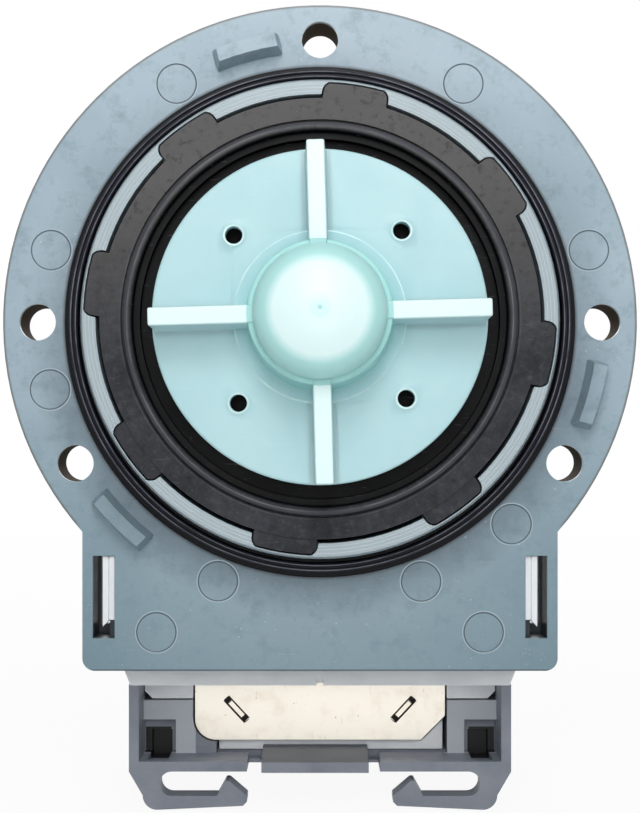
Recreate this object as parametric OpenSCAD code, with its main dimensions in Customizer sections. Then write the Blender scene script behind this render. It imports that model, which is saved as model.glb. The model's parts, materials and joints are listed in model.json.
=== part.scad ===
// Washer drain pump: a synchronous motor with a flange that bolts to a sump.
// Shapes are drawn on the rotor axis, with z = 0 on the flange face, z towards the
// impeller and y towards the top. upright() then turns the axis level, so that the
// impeller faces -Y and the coils hang below the axis.

/* [Flange] */
// Diameter of the round flange
flange_d = 92; // [88:1:100]
// Thickness of the flange plate
flange_t = 2.5; // [1.8:0.1:3]
// Depth of the skirt round the flange, from its face
skirt_depth = 7.3; // [6.5:0.1:7.5]
// Thickness of the skirt
skirt_t = 1.5; // [1:0.1:2]
// Distance from the axis down to the bottom edge of the square tail
tail_drop = 50.6; // [49:0.2:53]
// Corner radius of the tail
tail_corner_r = 1.8; // [0.5:0.1:3]
// Wall left outside each clip window
tail_side_w = 1.5; // [1.5:0.1:3]
// Thickness of the stiffening ribs
rib_t = 1.3; // [0.8:0.1:2]
// Depth of the stiffening ribs, from the flange face
rib_depth = 6; // [4:0.1:6.4]

/* [Screw holes] */
// Diameter of the circle through the five screw holes
screw_circle_d = 82; // [80:0.5:84]
// Diameter of each screw hole
screw_hole_d = 5.3; // [4:0.1:6]
// Diameter of the tube round each screw hole
screw_tube_d = 9.6; // [8.5:0.1:10.5]

/* [Locating keys] */
// Gap between the seal's groove and a key
key_gap = 2.1; // [1.2:0.1:2.6]
// Length of a key at its foot
key_len = 10; // [8:0.5:12]
// Length of a key along its top
key_top_len = 8.6; // [6:0.1:8.8]
// Width of a key at its foot
key_foot_w = 3.1; // [2.4:0.1:4]
// Width of a key along its top
key_top_w = 1.9; // [1:0.1:2.2]
// Height of a key
key_h = 3; // [1.5:0.1:4]

/* [Clip windows] */
// Distance from the axis down to the middle of a window
window_drop = 39.9; // [39:0.1:41]
// Height of a window
window_h = 12; // [10:0.5:13]
// Width of a window
window_w = 3.2; // [3.1:0.1:4]
// Thickness of the wall behind a window's pocket
pocket_wall_t = 1.2; // [0.8:0.1:1.6]

/* [Collar and seals] */
// Outer diameter of the collar
collar_d = 67.9; // [67:0.1:69]
// Height of the collar above the flange face
collar_h = 5.7; // [5:0.1:6.5]
// Height of the bevel round the collar's outer edge
collar_bevel_h = 0.8; // [0.4:0.1:1.4]
// Width of the bevel
collar_bevel_w = 0.4; // [0.2:0.05:0.6]
// Width of the seal round the collar
seal_w = 2.9; // [2.4:0.1:3.5]
// Height of the seal above the flange face
seal_rise = 2.2; // [1.5:0.1:3]
// Height of the seal's foot above the flange face
seal_foot_h = 0.5; // [0.2:0.1:1]
// Width of the seal's ridge
seal_ridge_w = 1.3; // [1:0.1:1.6]
// Depth of the groove that the seal sits in
seal_groove_depth = 0.8; // [0.4:0.1:1.2]
// Section diameter of the O-ring round the bearing plate
plate_seal_d = 1.8; // [1.4:0.1:2]

/* [Bearing plate] */
// Diameter of the bearing plate
plate_d = 62.2; // [61.6:0.1:62.8]
// Gap between the bearing plate and the collar
plate_gap = 0.6; // [0.2:0.05:0.8]
// Thickness of the plate's outer wall
plate_wall = 1.9; // [1.7:0.1:2.4]
// Height of the plate's rim above the flange face
plate_rim_h = 5.9; // [5.2:0.1:6.4]
// Number of lugs
lug_count = 8; // [6:1:10]
// Width of a lug
lug_w = 9; // [6:0.5:11]
// Diameter across the lugs
lug_circle_d = 66.4; // [65.6:0.1:66.6]
// Thickness of a lug
lug_t = 4.1; // [3:0.1:4.4]
// Corner radius of a lug
lug_corner_r = 1.4; // [0.4:0.1:1.8]
// Gap round a lug in its notch
lug_gap = 0.25; // [0.1:0.05:0.4]
// Diameter of the rounded bead inside the rim
bead_circle_d = 54.2; // [53:0.1:55]
// Section diameter of the bead
bead_d = 1.5; // [1:0.1:1.8]
// Width of the groove outside the bead
bead_groove_w = 0.35; // [0.2:0.05:0.6]
// Step from the rim down to the ledge inside the bead
bead_step = 0.8; // [0.3:0.1:1.2]
// Diameter of the well behind the impeller
well_d = 51; // [49.5:0.5:51.5]
// Height of the well's floor above the flange face
well_floor_h = 3.4; // [2.4:0.1:4.2]
// Thickness of the well's floor
well_floor_t = 1.7; // [1.2:0.1:2.2]

/* [Bearings] */
// Outer diameter of a bearing bush
bush_d = 10; // [8:0.5:11]
// Length of a bearing bush
bush_len = 7.2; // [5:0.2:8]
// Wall of the rubber mount round a bush
mount_wall = 2.1; // [1.5:0.1:2.5]
// Reach of the mount's lips over the bush's ends
mount_lip = 0.6; // [0.4:0.1:1]
// Wall of the housing round a mount
mount_housing_wall = 1.6; // [1.2:0.1:2]

/* [Rotor] */
// Diameter of the shaft
shaft_d = 4; // [3:0.1:4.6]
// Diameter of the magnet
magnet_d = 24; // [20:0.5:25]
// Length of the magnet
magnet_len = 28; // [24:0.5:30]
// Wall of the plastic core inside the magnet
rotor_core_wall = 2.4; // [1.6:0.1:3]
// Gap between the magnet and the can
rotor_gap = 0.9; // [0.6:0.1:1.4]
// Wall of the rotor can
can_wall = 1.3; // [1:0.1:1.6]
// Thickness of a thrust washer
washer_t = 1; // [0.6:0.1:1.4]

/* [Impeller] */
// Diameter of the impeller's disc
disc_d = 46.8; // [44:0.2:47.4]
// Height of the disc's front above the flange face
disc_h = 8.7; // [8.6:0.1:9.4]
// Thickness of the disc
disc_t = 1.8; // [1.4:0.1:2]
// Length across two opposite blades
blade_span = 46.1; // [40:0.2:46.6]
// Thickness of a blade at its top
blade_t = 2.4; // [1.8:0.1:3.2]
// Height of a blade above the disc
blade_h = 7.7; // [6:0.1:8.5]
// Turn of the blades at rest, in degrees
blade_turn = 1.6; // [0:0.1:10]
// Diameter of the hub at the disc
hub_d = 20.3; // [20.2:0.1:21.4]
// Diameter of the hub at its shoulder
hub_top_d = 19.5; // [19.4:0.1:20.2]
// Height of the hub's shoulder above the disc
hub_h = 7.5; // [7.2:0.1:7.7]
// Diameter of the dome
dome_d = 18; // [17.2:0.1:18.6]
// Height of the dome's tip above the disc
dome_h = 14.1; // [13.4:0.1:15]
// Radius of the dome's flattened crown
dome_crown_r = 15; // [13:0.5:18]
// Radius between the dome's crown and its side
dome_side_r = 4.2; // [3:0.1:5]
// Diameter of the low step round the hub's foot
hub_step_d = 24; // [23:0.1:26]
// Height of the step
hub_step_h = 0.3; // [0.1:0.1:0.6]
// Diameter of the circle through the four small holes
vent_circle_d = 33; // [30:0.5:36]
// Diameter of a small hole
vent_d = 2.4; // [1.6:0.1:3]

/* [Free-play coupling] */
// Inner diameter of the hub
hub_bore_d = 16.8; // [16:0.1:17.2]
// Height of the cavity in the hub, above the disc's front
cavity_h = 6.8; // [6:0.1:7]
// Angle that the driving dog covers, in degrees
dog_angle = 40; // [30:1:44]
// Angle that the stop in the hub covers, in degrees
stop_angle = 40; // [30:1:44]
// Angle of each rubber pad beside the stop, in degrees
pad_angle = 7.5; // [5:0.5:9]

/* [Stator core] */
// Width of the laminated core
core_w = 39.2; // [37:0.2:41]
// Width of a leg and height of the yoke
leg_w = 9; // [8:0.1:10]
// Thickness of the lamination stack
stack_t = 26; // [22:0.5:28]
// Depth of the stack's front below the flange face
stack_depth = 16; // [15.4:0.1:17]
// Gap between the two poles
pole_gap = 3.2; // [2:0.1:4]
// Height of a pole's tip above the axis
pole_top = 17.6; // [17:0.1:19]
// Corner radius of the yoke
yoke_corner_r = 3.3; // [1:0.1:4]
// Size of the yoke's cut corner
yoke_cut = 3.8; // [2:0.1:4.5]
// Length of a lamination's interlock slot
interlock_len = 4.9; // [3:0.1:6]
// Width of an interlock slot
interlock_w = 1.1; // [0.8:0.1:1.4]
// Length of the bridge that stands in the slot
interlock_bridge_len = 3; // [2:0.1:3.4]

/* [Bobbins and windings] */
// Distance from the axis down to the top of a bobbin
bobbin_drop = 21.5; // [21.4:0.1:23]
// Length of a bobbin
bobbin_len = 32.6; // [31:0.2:33.4]
// Thickness of a bobbin's cheek
cheek_t = 1.7; // [1.2:0.1:2]
// Height of the lip along the front of the lower cheek
cheek_lip_h = 2.8; // [2:0.1:3]
// Wall of a bobbin's tube
tube_wall = 1.1; // [0.8:0.1:1.4]
// Gap between the two bobbins
bobbin_gap = 1; // [0.4:0.1:2]
// Depth of the cheeks' front edge below the flange face
cheek_depth = 7.7; // [7.7:0.1:8.4]
// Height that the winding builds up round the tube
winding_build = 5.4; // [4:0.1:5.8]
// Thickness of the tape round a winding
tape_t = 0.4; // [0.2:0.1:0.6]
// Thickness of the clip that reaches into a window
clip_t = 0.85; // [0.7:0.05:1]
// Height of the clip
clip_h = 10.3; // [8:0.1:11]

/* [Terminal housing] */
// Thickness of the housing's side walls
housing_wall = 1.5; // [1.2:0.1:2]
// Thickness of the housing's floor
housing_floor_t = 1.5; // [1.2:0.1:1.8]
// Depth of the housing's front edge below the flange face
housing_depth = 9; // [8.4:0.1:10]
// Depth of the ledges in front of the floor
ledge_len = 6; // [4:0.2:7]
// Reach of the wire hooks below the floor
hook_drop = 5.8; // [5.6:0.1:7]
// Height of the slot in a wire hook
hook_slot_h = 3.7; // [3:0.1:4]
// Length of a wire hook, from the housing's side to its tip
hook_reach = 17.9; // [15:0.1:19]
// Thickness of a wire hook
hook_t = 3.5; // [2.5:0.1:5]
// Width of a terminal tab
tab_w = 6.3; // [4.8:0.1:6.3]
// Thickness of a terminal tab
tab_t = 0.8; // [0.5:0.05:1]
// Length of the tab's free end
tab_len = 9; // [7:0.5:10]

/* [Hidden] */
$fn = 96;
// Overlap that joins solids or lets a cut run past a face
eps = 0.5;
// Gaps: a fit between fixed pieces, a slide fit and a running fit
fit = 0.1;
loose = 0.2;
running = 0.03;

// Rotor can, worked outwards from the magnet
magnet_r = magnet_d / 2;
shaft_r = shaft_d / 2;
can_r = magnet_r + rotor_gap;
can_outer_r = can_r + can_wall;
core_bore_r = can_outer_r + 0.3;

// Bearing plate in its chamber
plate_r = plate_d / 2;
chamber_r = plate_r + plate_gap;
chamber_floor_z = -4;
chamber_floor_t = 2;
chamber_wall = 1.7;
collar_r = collar_d / 2;
lug_r = lug_circle_d / 2;
lug_bottom_z = plate_rim_h - 0.2 - lug_t;
// Height of the O-ring in the bearing plate's wall
plate_seal_z = -1.4;
function lug_angle(k) = 36 + 360 * k / lug_count;

// Keys and seal round the collar
groove_outer_r = collar_r + seal_w + 2 * fit;
key_r = groove_outer_r + key_gap + key_foot_w / 2;
screw_angles = [0, 90, 180, 210, 330];
key_angles = [105, 225, 345];

// Bearings, from front to back
bush_r = bush_d / 2;
mount_r = bush_r + mount_wall;
mount_bore_r = mount_r + fit / 2;
bush_bore_r = shaft_r + running;
lip_bore_r = bush_r - mount_lip;
washer_r = lip_bore_r - loose - fit;
hub_front_z = disc_h - disc_t - 1.9;
mount_front_z = hub_front_z - mount_housing_wall;
mount_len = bush_len + 1;
front_bush_z = mount_front_z - fit - mount_len / 2;
front_bush_back_z = front_bush_z - bush_len / 2;
stack_z = -stack_depth - stack_t / 2;
magnet_front_z = stack_z + magnet_len / 2;
magnet_back_z = stack_z - magnet_len / 2;
rotor_flange_t = 1;
rotor_core_r = shaft_r + rotor_core_wall;
rotor_back_z = magnet_back_z - rotor_flange_t;
can_end_z = rotor_back_z - 1.5;
can_end_t = 2;
rear_washer_z = can_end_z - can_end_t;
rear_bush_front_z = rear_washer_z - washer_t - loose;
rear_bush_z = rear_bush_front_z - bush_len / 2;
rear_mount_front_z = rear_bush_z + mount_len / 2;
pocket_end_z = rear_bush_z - mount_len / 2 - fit;

// Impeller and coupling, from the disc forward
disc_back_z = disc_h - disc_t;
cavity_z = disc_h + cavity_h;
cover_front_z = disc_h + 0.2;
dog_back_z = cover_front_z + 1.2;
dog_front_z = cavity_z - loose;
dog_hub_r = shaft_r + 2.2;
hub_bore_r = hub_bore_d / 2;
// Radius of the hub cover's flange
cover_r = hub_bore_r + 0.7;
hub_shoulder_z = disc_h + hub_h;
// Thickness left in front of the shaft's tip
dome_t = 3.4;
shaft_tip_z = disc_h + dome_h - dome_t;
// Step that the hub cover's flange seats on, behind the disc's front
cover_step_z = cover_front_z - 1;
shaft_end_z = pocket_end_z + 0.5;
stop_turn = blade_turn + 45;

// Stator, worked outwards from the core
leg_x = core_w / 2 - leg_w / 2;
bobbin_outer_x = 2 * leg_x - bobbin_gap / 2;
cheek_half_w = leg_x - bobbin_gap / 2;
cheek_half_t = -stack_z - cheek_depth;
bobbin_bottom_y = -bobbin_drop - bobbin_len;
yoke_top_y = bobbin_bottom_y - 1;
yoke_bottom_y = yoke_top_y - leg_w;
// Tongue on the yoke, let into a leg's end
tongue_w = 4;
tongue_h = 1.8;
// Depth of an interlock slot, and of its bridge below the sheet's face
interlock_depth = 0.8;
bridge_depth = 0.12;
// Bevel at a pole's upper corner, and height of the neck below its lower one
pole_bevel = 6.5;
pole_neck = 2;
tube_half_w = leg_w / 2 + 0.15 + tube_wall;
tube_half_t = stack_t / 2 + 0.15 + tube_wall;
winding_half_w = tube_half_w + winding_build;
winding_half_t = tube_half_t + winding_build;
clip_x = bobbin_outer_x + 1.1;
window_x = bobbin_outer_x + 0.1;
window_top_y = -window_drop + window_h / 2;
window_bottom_y = -window_drop - window_h / 2;
clip_top_y = window_top_y - fit;
clip_bottom_y = clip_top_y - clip_h;
// Depth of the clip's root behind the core's front
clip_root_len = 4;
// Room that a clip needs to spring aside as it goes in
clip_flex = 1;
// Lip along the front of the lower cheek, slanted at its outer end
cheek_lip_t = 0.9;
cheek_slant = 1.1;
cheek_lip_y = -bobbin_drop - bobbin_len + cheek_lip_h;
tail_half_w = window_x + window_w + tail_side_w;
// Depth of the ledge that a clip's barb holds on to
clip_ledge = 1.5;
// Thermal switch on the back of a coil
cutout_len = 10;
cutout_w = 6;
cutout_t = 2.4;
// Back of the bobbin's terminal block
tab_root_back_z = -stack_depth - stack_t + 2;
// Spacing of the tail's upright ribs
rib_pitch = 12;

// Terminal housing, worked from the bobbins and the yoke
housing_top_y = bobbin_bottom_y - fit;
housing_x = bobbin_outer_x - 0.7;
floor_top_y = yoke_bottom_y - 1.8;
floor_bottom_y = floor_top_y - housing_floor_t;
housing_back_z = -cheek_depth - 2 * cheek_half_t;
block_x = core_w / 2 + 0.25;
block_outer_x = housing_x - housing_wall - fit;
block_bottom_y = bobbin_bottom_y - 3.4;
block_z = -stack_depth + 0.6;
block_bevel = 1.2;
ledge_back_z = -housing_depth - ledge_len;
// Where the floor rises to its full height behind the ledges
floor_step_z = -stack_depth - 1.2;
tab_x = (block_x + block_outer_x) / 2 + 0.4;
tab_back_z = housing_back_z + 1.5;
bay_front_z = tab_back_z + tab_len + 1;
tab_mid_y = (block_bottom_y + floor_top_y) / 2;
// Depth of a terminal's front edge inside its block
tab_inset = 4;
tab_front_z = block_z - tab_inset;
// Tang of a terminal, from its back
tang_back_z = tab_root_back_z + 3;
tang_len = 4;
tang_rise = 2.4;
hook_bottom_y = floor_bottom_y - hook_drop;
// The three ledges in front of the floor, between these places from left to right
ledge_ends = [-11.1, -8.9, 7.4, 9.1];
// Latch on the middle ledge that reaches under the yoke
latch_rise = 1;
latch_drop = 0.2;
// Groove across the floor behind the ledges
floor_groove = 0.9;
// Pocket in a terminal block's face, and the square hole in it
pocket_w = 5;
pocket_h = 5.2;
pocket_depth = 2;
hole_w = 3.2;
hole_h = 3.3;
hole_side = 1.1;
hole_back_z = tab_front_z + 0.7;
// Sill left in front of the hole, and the walls round a terminal's bay
sill_t = 1.2;
bay_wall = 1.2;

body_color = "#93a9b5";
housing_color = "#868a94";
impeller_color = "#b4e6e6";
plate_color = "#2b2a2c";
rubber_color = "#1b1b1d";
steel_color = "#d9d3c4";
white_color = "#eceef0";

module upright() {
    rotate([90, 0, 0]) children();
}

// A solid between two heights on the axis
module slab(z0, z1) {
    translate([0, 0, z0]) linear_extrude(z1 - z0) children();
}

module tube(outer_r, inner_r, z0, z1) {
    slab(z0, z1) difference() {
        circle(outer_r);
        circle(inner_r);
    }
}

// A rectangle between two corners
module box_2d(x0, x1, y0, y1) {
    translate([x0, y0]) square([x1 - x0, y1 - y0]);
}

// A rectangle with four round corners
module round_box_2d(half_w, half_h, r) {
    square([2 * half_w - 2 * r, 2 * half_h], center = true);
    square([2 * half_w, 2 * half_h - 2 * r], center = true);
    for (x = [-1, 1], y = [-1, 1]) {
        translate([x * (half_w - r), y * (half_h - r)]) circle(r);
    }
}

// A ring sector centred on the x axis
module sector_2d(inner_r, outer_r, angle) {
    reach = outer_r * 2;
    difference() {
        intersection() {
            circle(outer_r);
            polygon([
                [0, 0],
                [reach * cos(angle / 2), -reach * sin(angle / 2)],
                [reach * cos(angle / 2), reach * sin(angle / 2)]
            ]);
        }
        circle(inner_r);
    }
}

// Round flange and square tail, drawn in from the edge by inset
module flange_2d(inset) {
    r = max(tail_corner_r - inset, 0.3);
    half_w = tail_half_w - inset;
    drop = tail_drop - inset;
    circle(flange_d / 2 - inset);
    box_2d(-half_w, half_w, -drop + r, 0);
    box_2d(-half_w + r, half_w - r, -drop, 0);
    for (side = [-1, 1]) {
        translate([side * (half_w - r), -drop + r]) circle(r);
    }
}

module at_screws() {
    for (a = screw_angles) rotate(a) translate([screw_circle_d / 2, 0]) children();
}

module rib_layout_2d() {
    for (a = [20, 45, 70, 110, 135, 160, 200, 340]) rotate(a) {
        translate([0, -rib_t / 2]) square([flange_d, rib_t]);
    }
    for (k = [-2 : 2]) {
        box_2d(k * rib_pitch - rib_t / 2, k * rib_pitch + rib_t / 2, -tail_drop, 0);
    }
    box_2d(-tail_half_w, tail_half_w, window_bottom_y - rib_t, window_bottom_y);
}

// A key on the circle round the seal, tapered on all sides and round at its ends
module locating_key() {
    intersection() {
        rotate_extrude() polygon([
            [key_r - key_foot_w / 2, -eps],
            [key_r + key_foot_w / 2, -eps],
            [key_r + key_foot_w / 2, 0],
            [key_r + key_top_w / 2, key_h],
            [key_r - key_top_w / 2, key_h],
            [key_r - key_foot_w / 2, 0]
        ]);
        translate([key_r - key_foot_w, 0, 0]) rotate([90, 0, 90]) {
            linear_extrude(2 * key_foot_w) polygon([
                [-key_len / 2, -eps],
                [key_len / 2, -eps],
                [key_len / 2, 0],
                [key_top_len / 2, key_h],
                [-key_top_len / 2, key_h],
                [-key_len / 2, 0]
            ]);
        }
        slab(-eps, key_h + eps) translate([key_r, 0]) circle(key_len / 2 + 0.05);
    }
}

module collar_profile() {
    polygon([
        [chamber_r, -eps],
        [collar_r, -eps],
        [collar_r, collar_h - collar_bevel_h],
        [collar_r - collar_bevel_w, collar_h],
        [chamber_r, collar_h]
    ]);
}

// Webs behind the chamber that the pole pieces rest against
module can_webs() {
    web_reach = 4;
    web_r = core_bore_r + web_reach;
    for (a = [0, 45, 135, 180, 225, 315]) rotate(a) {
        slab(-stack_depth + fit, chamber_floor_z - eps) {
            translate([can_r + can_wall / 2, -rib_t / 2]) square([web_r - can_r - can_wall / 2, rib_t]);
        }
    }
}

module window_2d(x0) {
    box_2d(x0, window_x + window_w, window_bottom_y, window_top_y);
}

// Walls of the pocket behind a window
module clip_pocket() {
    slab(-skirt_depth, -flange_t + eps) {
        box_2d(window_x - 0.2, tail_half_w - skirt_t / 2, window_bottom_y - rib_t, window_top_y + rib_t);
    }
}

// The room that a bobbin's clip takes up in its window, with a ledge for its barb
module clip_cut() {
    slab(-clip_ledge, eps) window_2d(window_x);
    slab(-skirt_depth + pocket_wall_t, 0) window_2d(clip_x - fit);
    slab(-skirt_depth - eps, 0) {
        box_2d(clip_x - fit, clip_x + clip_t + clip_flex, clip_bottom_y - loose, window_top_y);
    }
}

module pump_body() {
    pocket_r = mount_bore_r + mount_housing_wall;
    color(body_color) upright() difference() {
        union() {
            slab(-flange_t, 0) flange_2d(0);
            slab(-skirt_depth, -flange_t + eps) difference() {
                flange_2d(0);
                flange_2d(skirt_t);
            }
            slab(-rib_depth, -flange_t + eps) intersection() {
                flange_2d(skirt_t / 2);
                rib_layout_2d();
            }
            slab(-skirt_depth, -flange_t + eps) at_screws() circle(screw_tube_d / 2);
            slab(chamber_floor_z - chamber_floor_t, 0) circle(chamber_r + chamber_wall);
            rotate_extrude() collar_profile();
            slab(can_end_z - can_end_t, chamber_floor_z) circle(can_outer_r);
            slab(pocket_end_z - can_end_t, can_end_z) circle(pocket_r);
            can_webs();
            for (a = key_angles) rotate(a) locating_key();
            for (side = [0, 1]) mirror([side, 0, 0]) clip_pocket();
        }
        slab(chamber_floor_z, collar_h + eps) circle(chamber_r);
        slab(can_end_z, 0) circle(can_r);
        slab(pocket_end_z, 0) circle(mount_bore_r);
        slab(-skirt_depth - eps, eps) at_screws() circle(screw_hole_d / 2);
        tube(groove_outer_r, collar_r, -seal_groove_depth, eps);
        for (k = [0 : lug_count - 1]) rotate(lug_angle(k)) {
            slab(lug_bottom_z - fit, collar_h + eps) lug_2d(lug_gap);
        }
        for (side = [0, 1]) mirror([side, 0, 0]) clip_cut();
    }
}

// A flat foot with a ridge in its middle that ends in two round lips
module flange_seal() {
    inner_r = collar_r + fit;
    outer_r = inner_r + seal_w;
    lip_r = 0.3;
    middle_r = (inner_r + outer_r) / 2;
    lip_z = seal_rise - lip_r;
    color(rubber_color) upright() rotate_extrude() {
        box_2d(inner_r, outer_r, -seal_groove_depth, seal_foot_h);
        box_2d(middle_r - seal_ridge_w / 2, middle_r + seal_ridge_w / 2, 0, lip_z);
        for (side = [-1, 1]) {
            translate([middle_r + side * (seal_ridge_w / 2 - lip_r), lip_z]) circle(lip_r);
        }
    }
}

module plate_profile() {
    bead_r = bead_circle_d / 2;
    groove_r = bead_r + bead_d / 2 - 0.1;
    hub_r = mount_bore_r + mount_housing_wall;
    shaft_hole_r = shaft_r + 1;
    difference() {
        union() {
            box_2d(plate_r - plate_wall, plate_r, chamber_floor_z, plate_rim_h);
            box_2d(bead_r, plate_r, well_floor_h, plate_rim_h);
            box_2d(well_d / 2, bead_r + eps, well_floor_h - well_floor_t, plate_rim_h - bead_step);
            translate([bead_r, plate_rim_h - bead_d / 4]) circle(bead_d / 2);
            box_2d(shaft_hole_r, plate_r - plate_wall / 2, well_floor_h - well_floor_t, well_floor_h);
            box_2d(shaft_hole_r, hub_r, front_bush_back_z - 1, hub_front_z);
        }
        box_2d(groove_r, groove_r + bead_groove_w, plate_rim_h - bead_step, plate_rim_h + eps);
        box_2d(0, mount_bore_r, front_bush_back_z - 2, mount_front_z);
        box_2d(chamber_r - plate_seal_d - fit, plate_r + 1, plate_seal_z - plate_seal_d / 2 - fit,
            plate_seal_z + plate_seal_d / 2 + fit);
    }
}

// A lug with round corners, or its notch where it is grown by a gap
module lug_2d(grow) {
    inner_x = plate_r - plate_wall / 2;
    outer_x = lug_r + grow;
    half_w = lug_w / 2 + grow;
    r = lug_corner_r + grow;
    intersection() {
        circle(outer_x);
        union() {
            box_2d(inner_x, outer_x - r, -half_w, half_w);
            box_2d(inner_x, outer_x, -half_w + r, half_w - r);
            for (side = [-1, 1]) {
                translate([outer_x - r, side * (half_w - r)]) circle(r);
            }
        }
    }
}

module bearing_plate() {
    color(plate_color) upright() {
        rotate_extrude() plate_profile();
        for (k = [0 : lug_count - 1]) rotate(lug_angle(k)) {
            slab(lug_bottom_z, lug_bottom_z + lug_t) lug_2d(0);
        }
    }
}

module plate_seal() {
    color(rubber_color) upright() rotate_extrude() {
        translate([chamber_r - plate_seal_d / 2 - fit / 2, plate_seal_z]) circle(plate_seal_d / 2);
    }
}

module bush(z) {
    tube(bush_r, bush_bore_r, z - bush_len / 2, z + bush_len / 2);
}

// A rubber sleeve with an inward lip at each end that holds its bush
module bush_mount(z) {
    difference() {
        tube(mount_r, lip_bore_r, z - mount_len / 2, z + mount_len / 2);
        slab(z - bush_len / 2 - fit / 2, z + bush_len / 2 + fit / 2) circle(bush_r + fit / 2);
    }
}

module front_bearing() {
    color("#4a4c50") upright() bush(front_bush_z);
}

module front_bearing_mount() {
    color(rubber_color) upright() bush_mount(front_bush_z);
}

module rear_bearing() {
    color("#4a4c50") upright() bush(rear_bush_z);
}

module rear_bearing_mount() {
    color(rubber_color) upright() bush_mount(rear_bush_z);
}

module rotor_shaft() {
    tip = 0.4;
    color("#c9ccd0") upright() {
        slab(shaft_end_z, shaft_tip_z - tip) circle(shaft_r);
        translate([0, 0, shaft_tip_z - tip]) cylinder(h = tip, r1 = shaft_r, r2 = shaft_r - tip);
    }
}

module rotor_magnet() {
    color("#3a3a3c") upright() tube(magnet_r, rotor_core_r, magnet_back_z, magnet_front_z);
}

// Plastic core moulded through the magnet, with a flange and a nose at each end
module rotor_core() {
    front_nose_z = front_bush_back_z - 2 * loose - washer_t;
    nose_r = shaft_r + 1.6;
    color("#e4e2da") upright() difference() {
        union() {
            slab(rear_washer_z + loose, front_nose_z) circle(nose_r);
            slab(rotor_back_z, magnet_front_z + rotor_flange_t) circle(rotor_core_r);
            for (z = [rotor_back_z, magnet_front_z]) slab(z, z + rotor_flange_t) circle(magnet_r - 1.5);
        }
        slab(rear_washer_z, front_nose_z + eps) circle(shaft_r);
    }
}

module thrust_washer(z) {
    tube(washer_r, shaft_r + running, z, z + washer_t);
}

module front_thrust_washer() {
    color("#f0efe8") upright() thrust_washer(front_bush_back_z - loose - washer_t);
}

module rear_thrust_washer() {
    color("#f0efe8") upright() thrust_washer(rear_washer_z - washer_t);
}

module drive_dog() {
    color("#d8c9a0") upright() difference() {
        slab(dog_back_z, dog_front_z) {
            circle(dog_hub_r);
            rotate(stop_turn + 180) sector_2d(shaft_r + 0.5, hub_bore_r - 0.4, dog_angle);
        }
        slab(dog_back_z - eps, dog_front_z + eps) circle(shaft_r);
    }
}

module stop_2d(angle) {
    rotate(stop_turn) sector_2d(dog_hub_r + 0.4, hub_bore_r + eps, angle);
}

// The stop is cut short at its back, so that the damper can wrap round it
module hub_stop() {
    slab(dog_back_z + 1, cavity_z + eps) stop_2d(stop_angle);
}

module clutch_damper() {
    color(rubber_color) upright() difference() {
        slab(cover_front_z + fit, cavity_z - loose) {
            rotate(stop_turn) sector_2d(dog_hub_r + 0.5, hub_bore_r - 0.2, stop_angle + 2 * pad_angle);
        }
        slab(dog_back_z + 1 - fit, cavity_z + eps) {
            rotate(stop_turn) sector_2d(shaft_r, hub_bore_r + eps, stop_angle + 1);
        }
    }
}

// Half the dome's section: a flattened crown that runs into a tighter arc at the side
module dome_profile() {
    side_x = dome_d / 2 - dome_side_r;
    turn = asin(side_x / (dome_crown_r - dome_side_r));
    crown_z = disc_h + dome_h - dome_crown_r;
    side_z = crown_z + (dome_crown_r - dome_side_r) * cos(turn);
    box_2d(0, dome_d / 2, hub_shoulder_z - eps, side_z);
    intersection() {
        translate([side_x, side_z]) circle(dome_side_r);
        box_2d(0, dome_d, side_z - eps, side_z + dome_side_r);
    }
    intersection() {
        translate([0, crown_z]) circle(dome_crown_r);
        polygon([
            [0, side_z - eps],
            [side_x, side_z - eps],
            [side_x, side_z],
            [side_x + dome_side_r * tan(turn), side_z + dome_side_r],
            [0, disc_h + dome_h + eps]
        ]);
    }
}

// A blade with a little draft, thinner at its top
module blade() {
    foot_t = blade_t + 0.4;
    root_r = hub_bore_r + 0.3;
    translate([root_r, 0, disc_h]) rotate([90, 0, 90]) {
        linear_extrude(blade_span / 2 - root_r) polygon([
            [-foot_t / 2, -eps],
            [foot_t / 2, -eps],
            [foot_t / 2, 0],
            [blade_t / 2, blade_h],
            [-blade_t / 2, blade_h],
            [-foot_t / 2, 0]
        ]);
    }
}

module impeller() {
    color(impeller_color) upright() {
        difference() {
            union() {
                slab(disc_back_z, disc_h) circle(disc_d / 2);
                slab(disc_h - eps, disc_h + hub_step_h) circle(hub_step_d / 2);
                translate([0, 0, disc_h]) cylinder(h = hub_h, d1 = hub_d, d2 = hub_top_d);
                rotate_extrude() dome_profile();
                for (k = [0 : 3]) rotate(blade_turn + 90 * k) blade();
            }
            slab(disc_back_z - eps, cavity_z) circle(hub_bore_r);
            slab(disc_back_z - eps, cover_step_z) circle(cover_r + fit);
            slab(cavity_z - eps, shaft_tip_z + 0.5) circle(bush_bore_r);
            for (k = [0 : 3]) rotate(blade_turn + 45 + 90 * k) {
                translate([vent_circle_d / 2, 0, disc_back_z - eps]) {
                    cylinder(h = disc_t + 2 * eps, d = vent_d);
                }
            }
        }
        intersection() {
            hub_stop();
            slab(disc_h, cavity_z + eps) circle(hub_bore_r + eps);
        }
    }
}

module hub_cover() {
    seal_bore_r = shaft_r + 1.9;
    color("#c4d4d8") upright() {
        tube(cover_r, seal_bore_r, disc_back_z, cover_step_z - fit);
        tube(hub_bore_r - fit, seal_bore_r, cover_step_z - fit - eps, cover_front_z);
        tube(seal_bore_r + 0.5, shaft_r + 0.4, cover_front_z - 0.4, cover_front_z);
    }
}

// A ring in the hub cover with a lip towards the shaft
module hub_seal() {
    color(rubber_color) upright() {
        tube(shaft_r + 1.85, shaft_r + 0.6, disc_back_z + 0.1, cover_front_z - 0.5);
        tube(shaft_r + 0.8, shaft_r + running + 0.02, disc_back_z + 0.6, disc_back_z + 1.1);
    }
}

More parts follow.
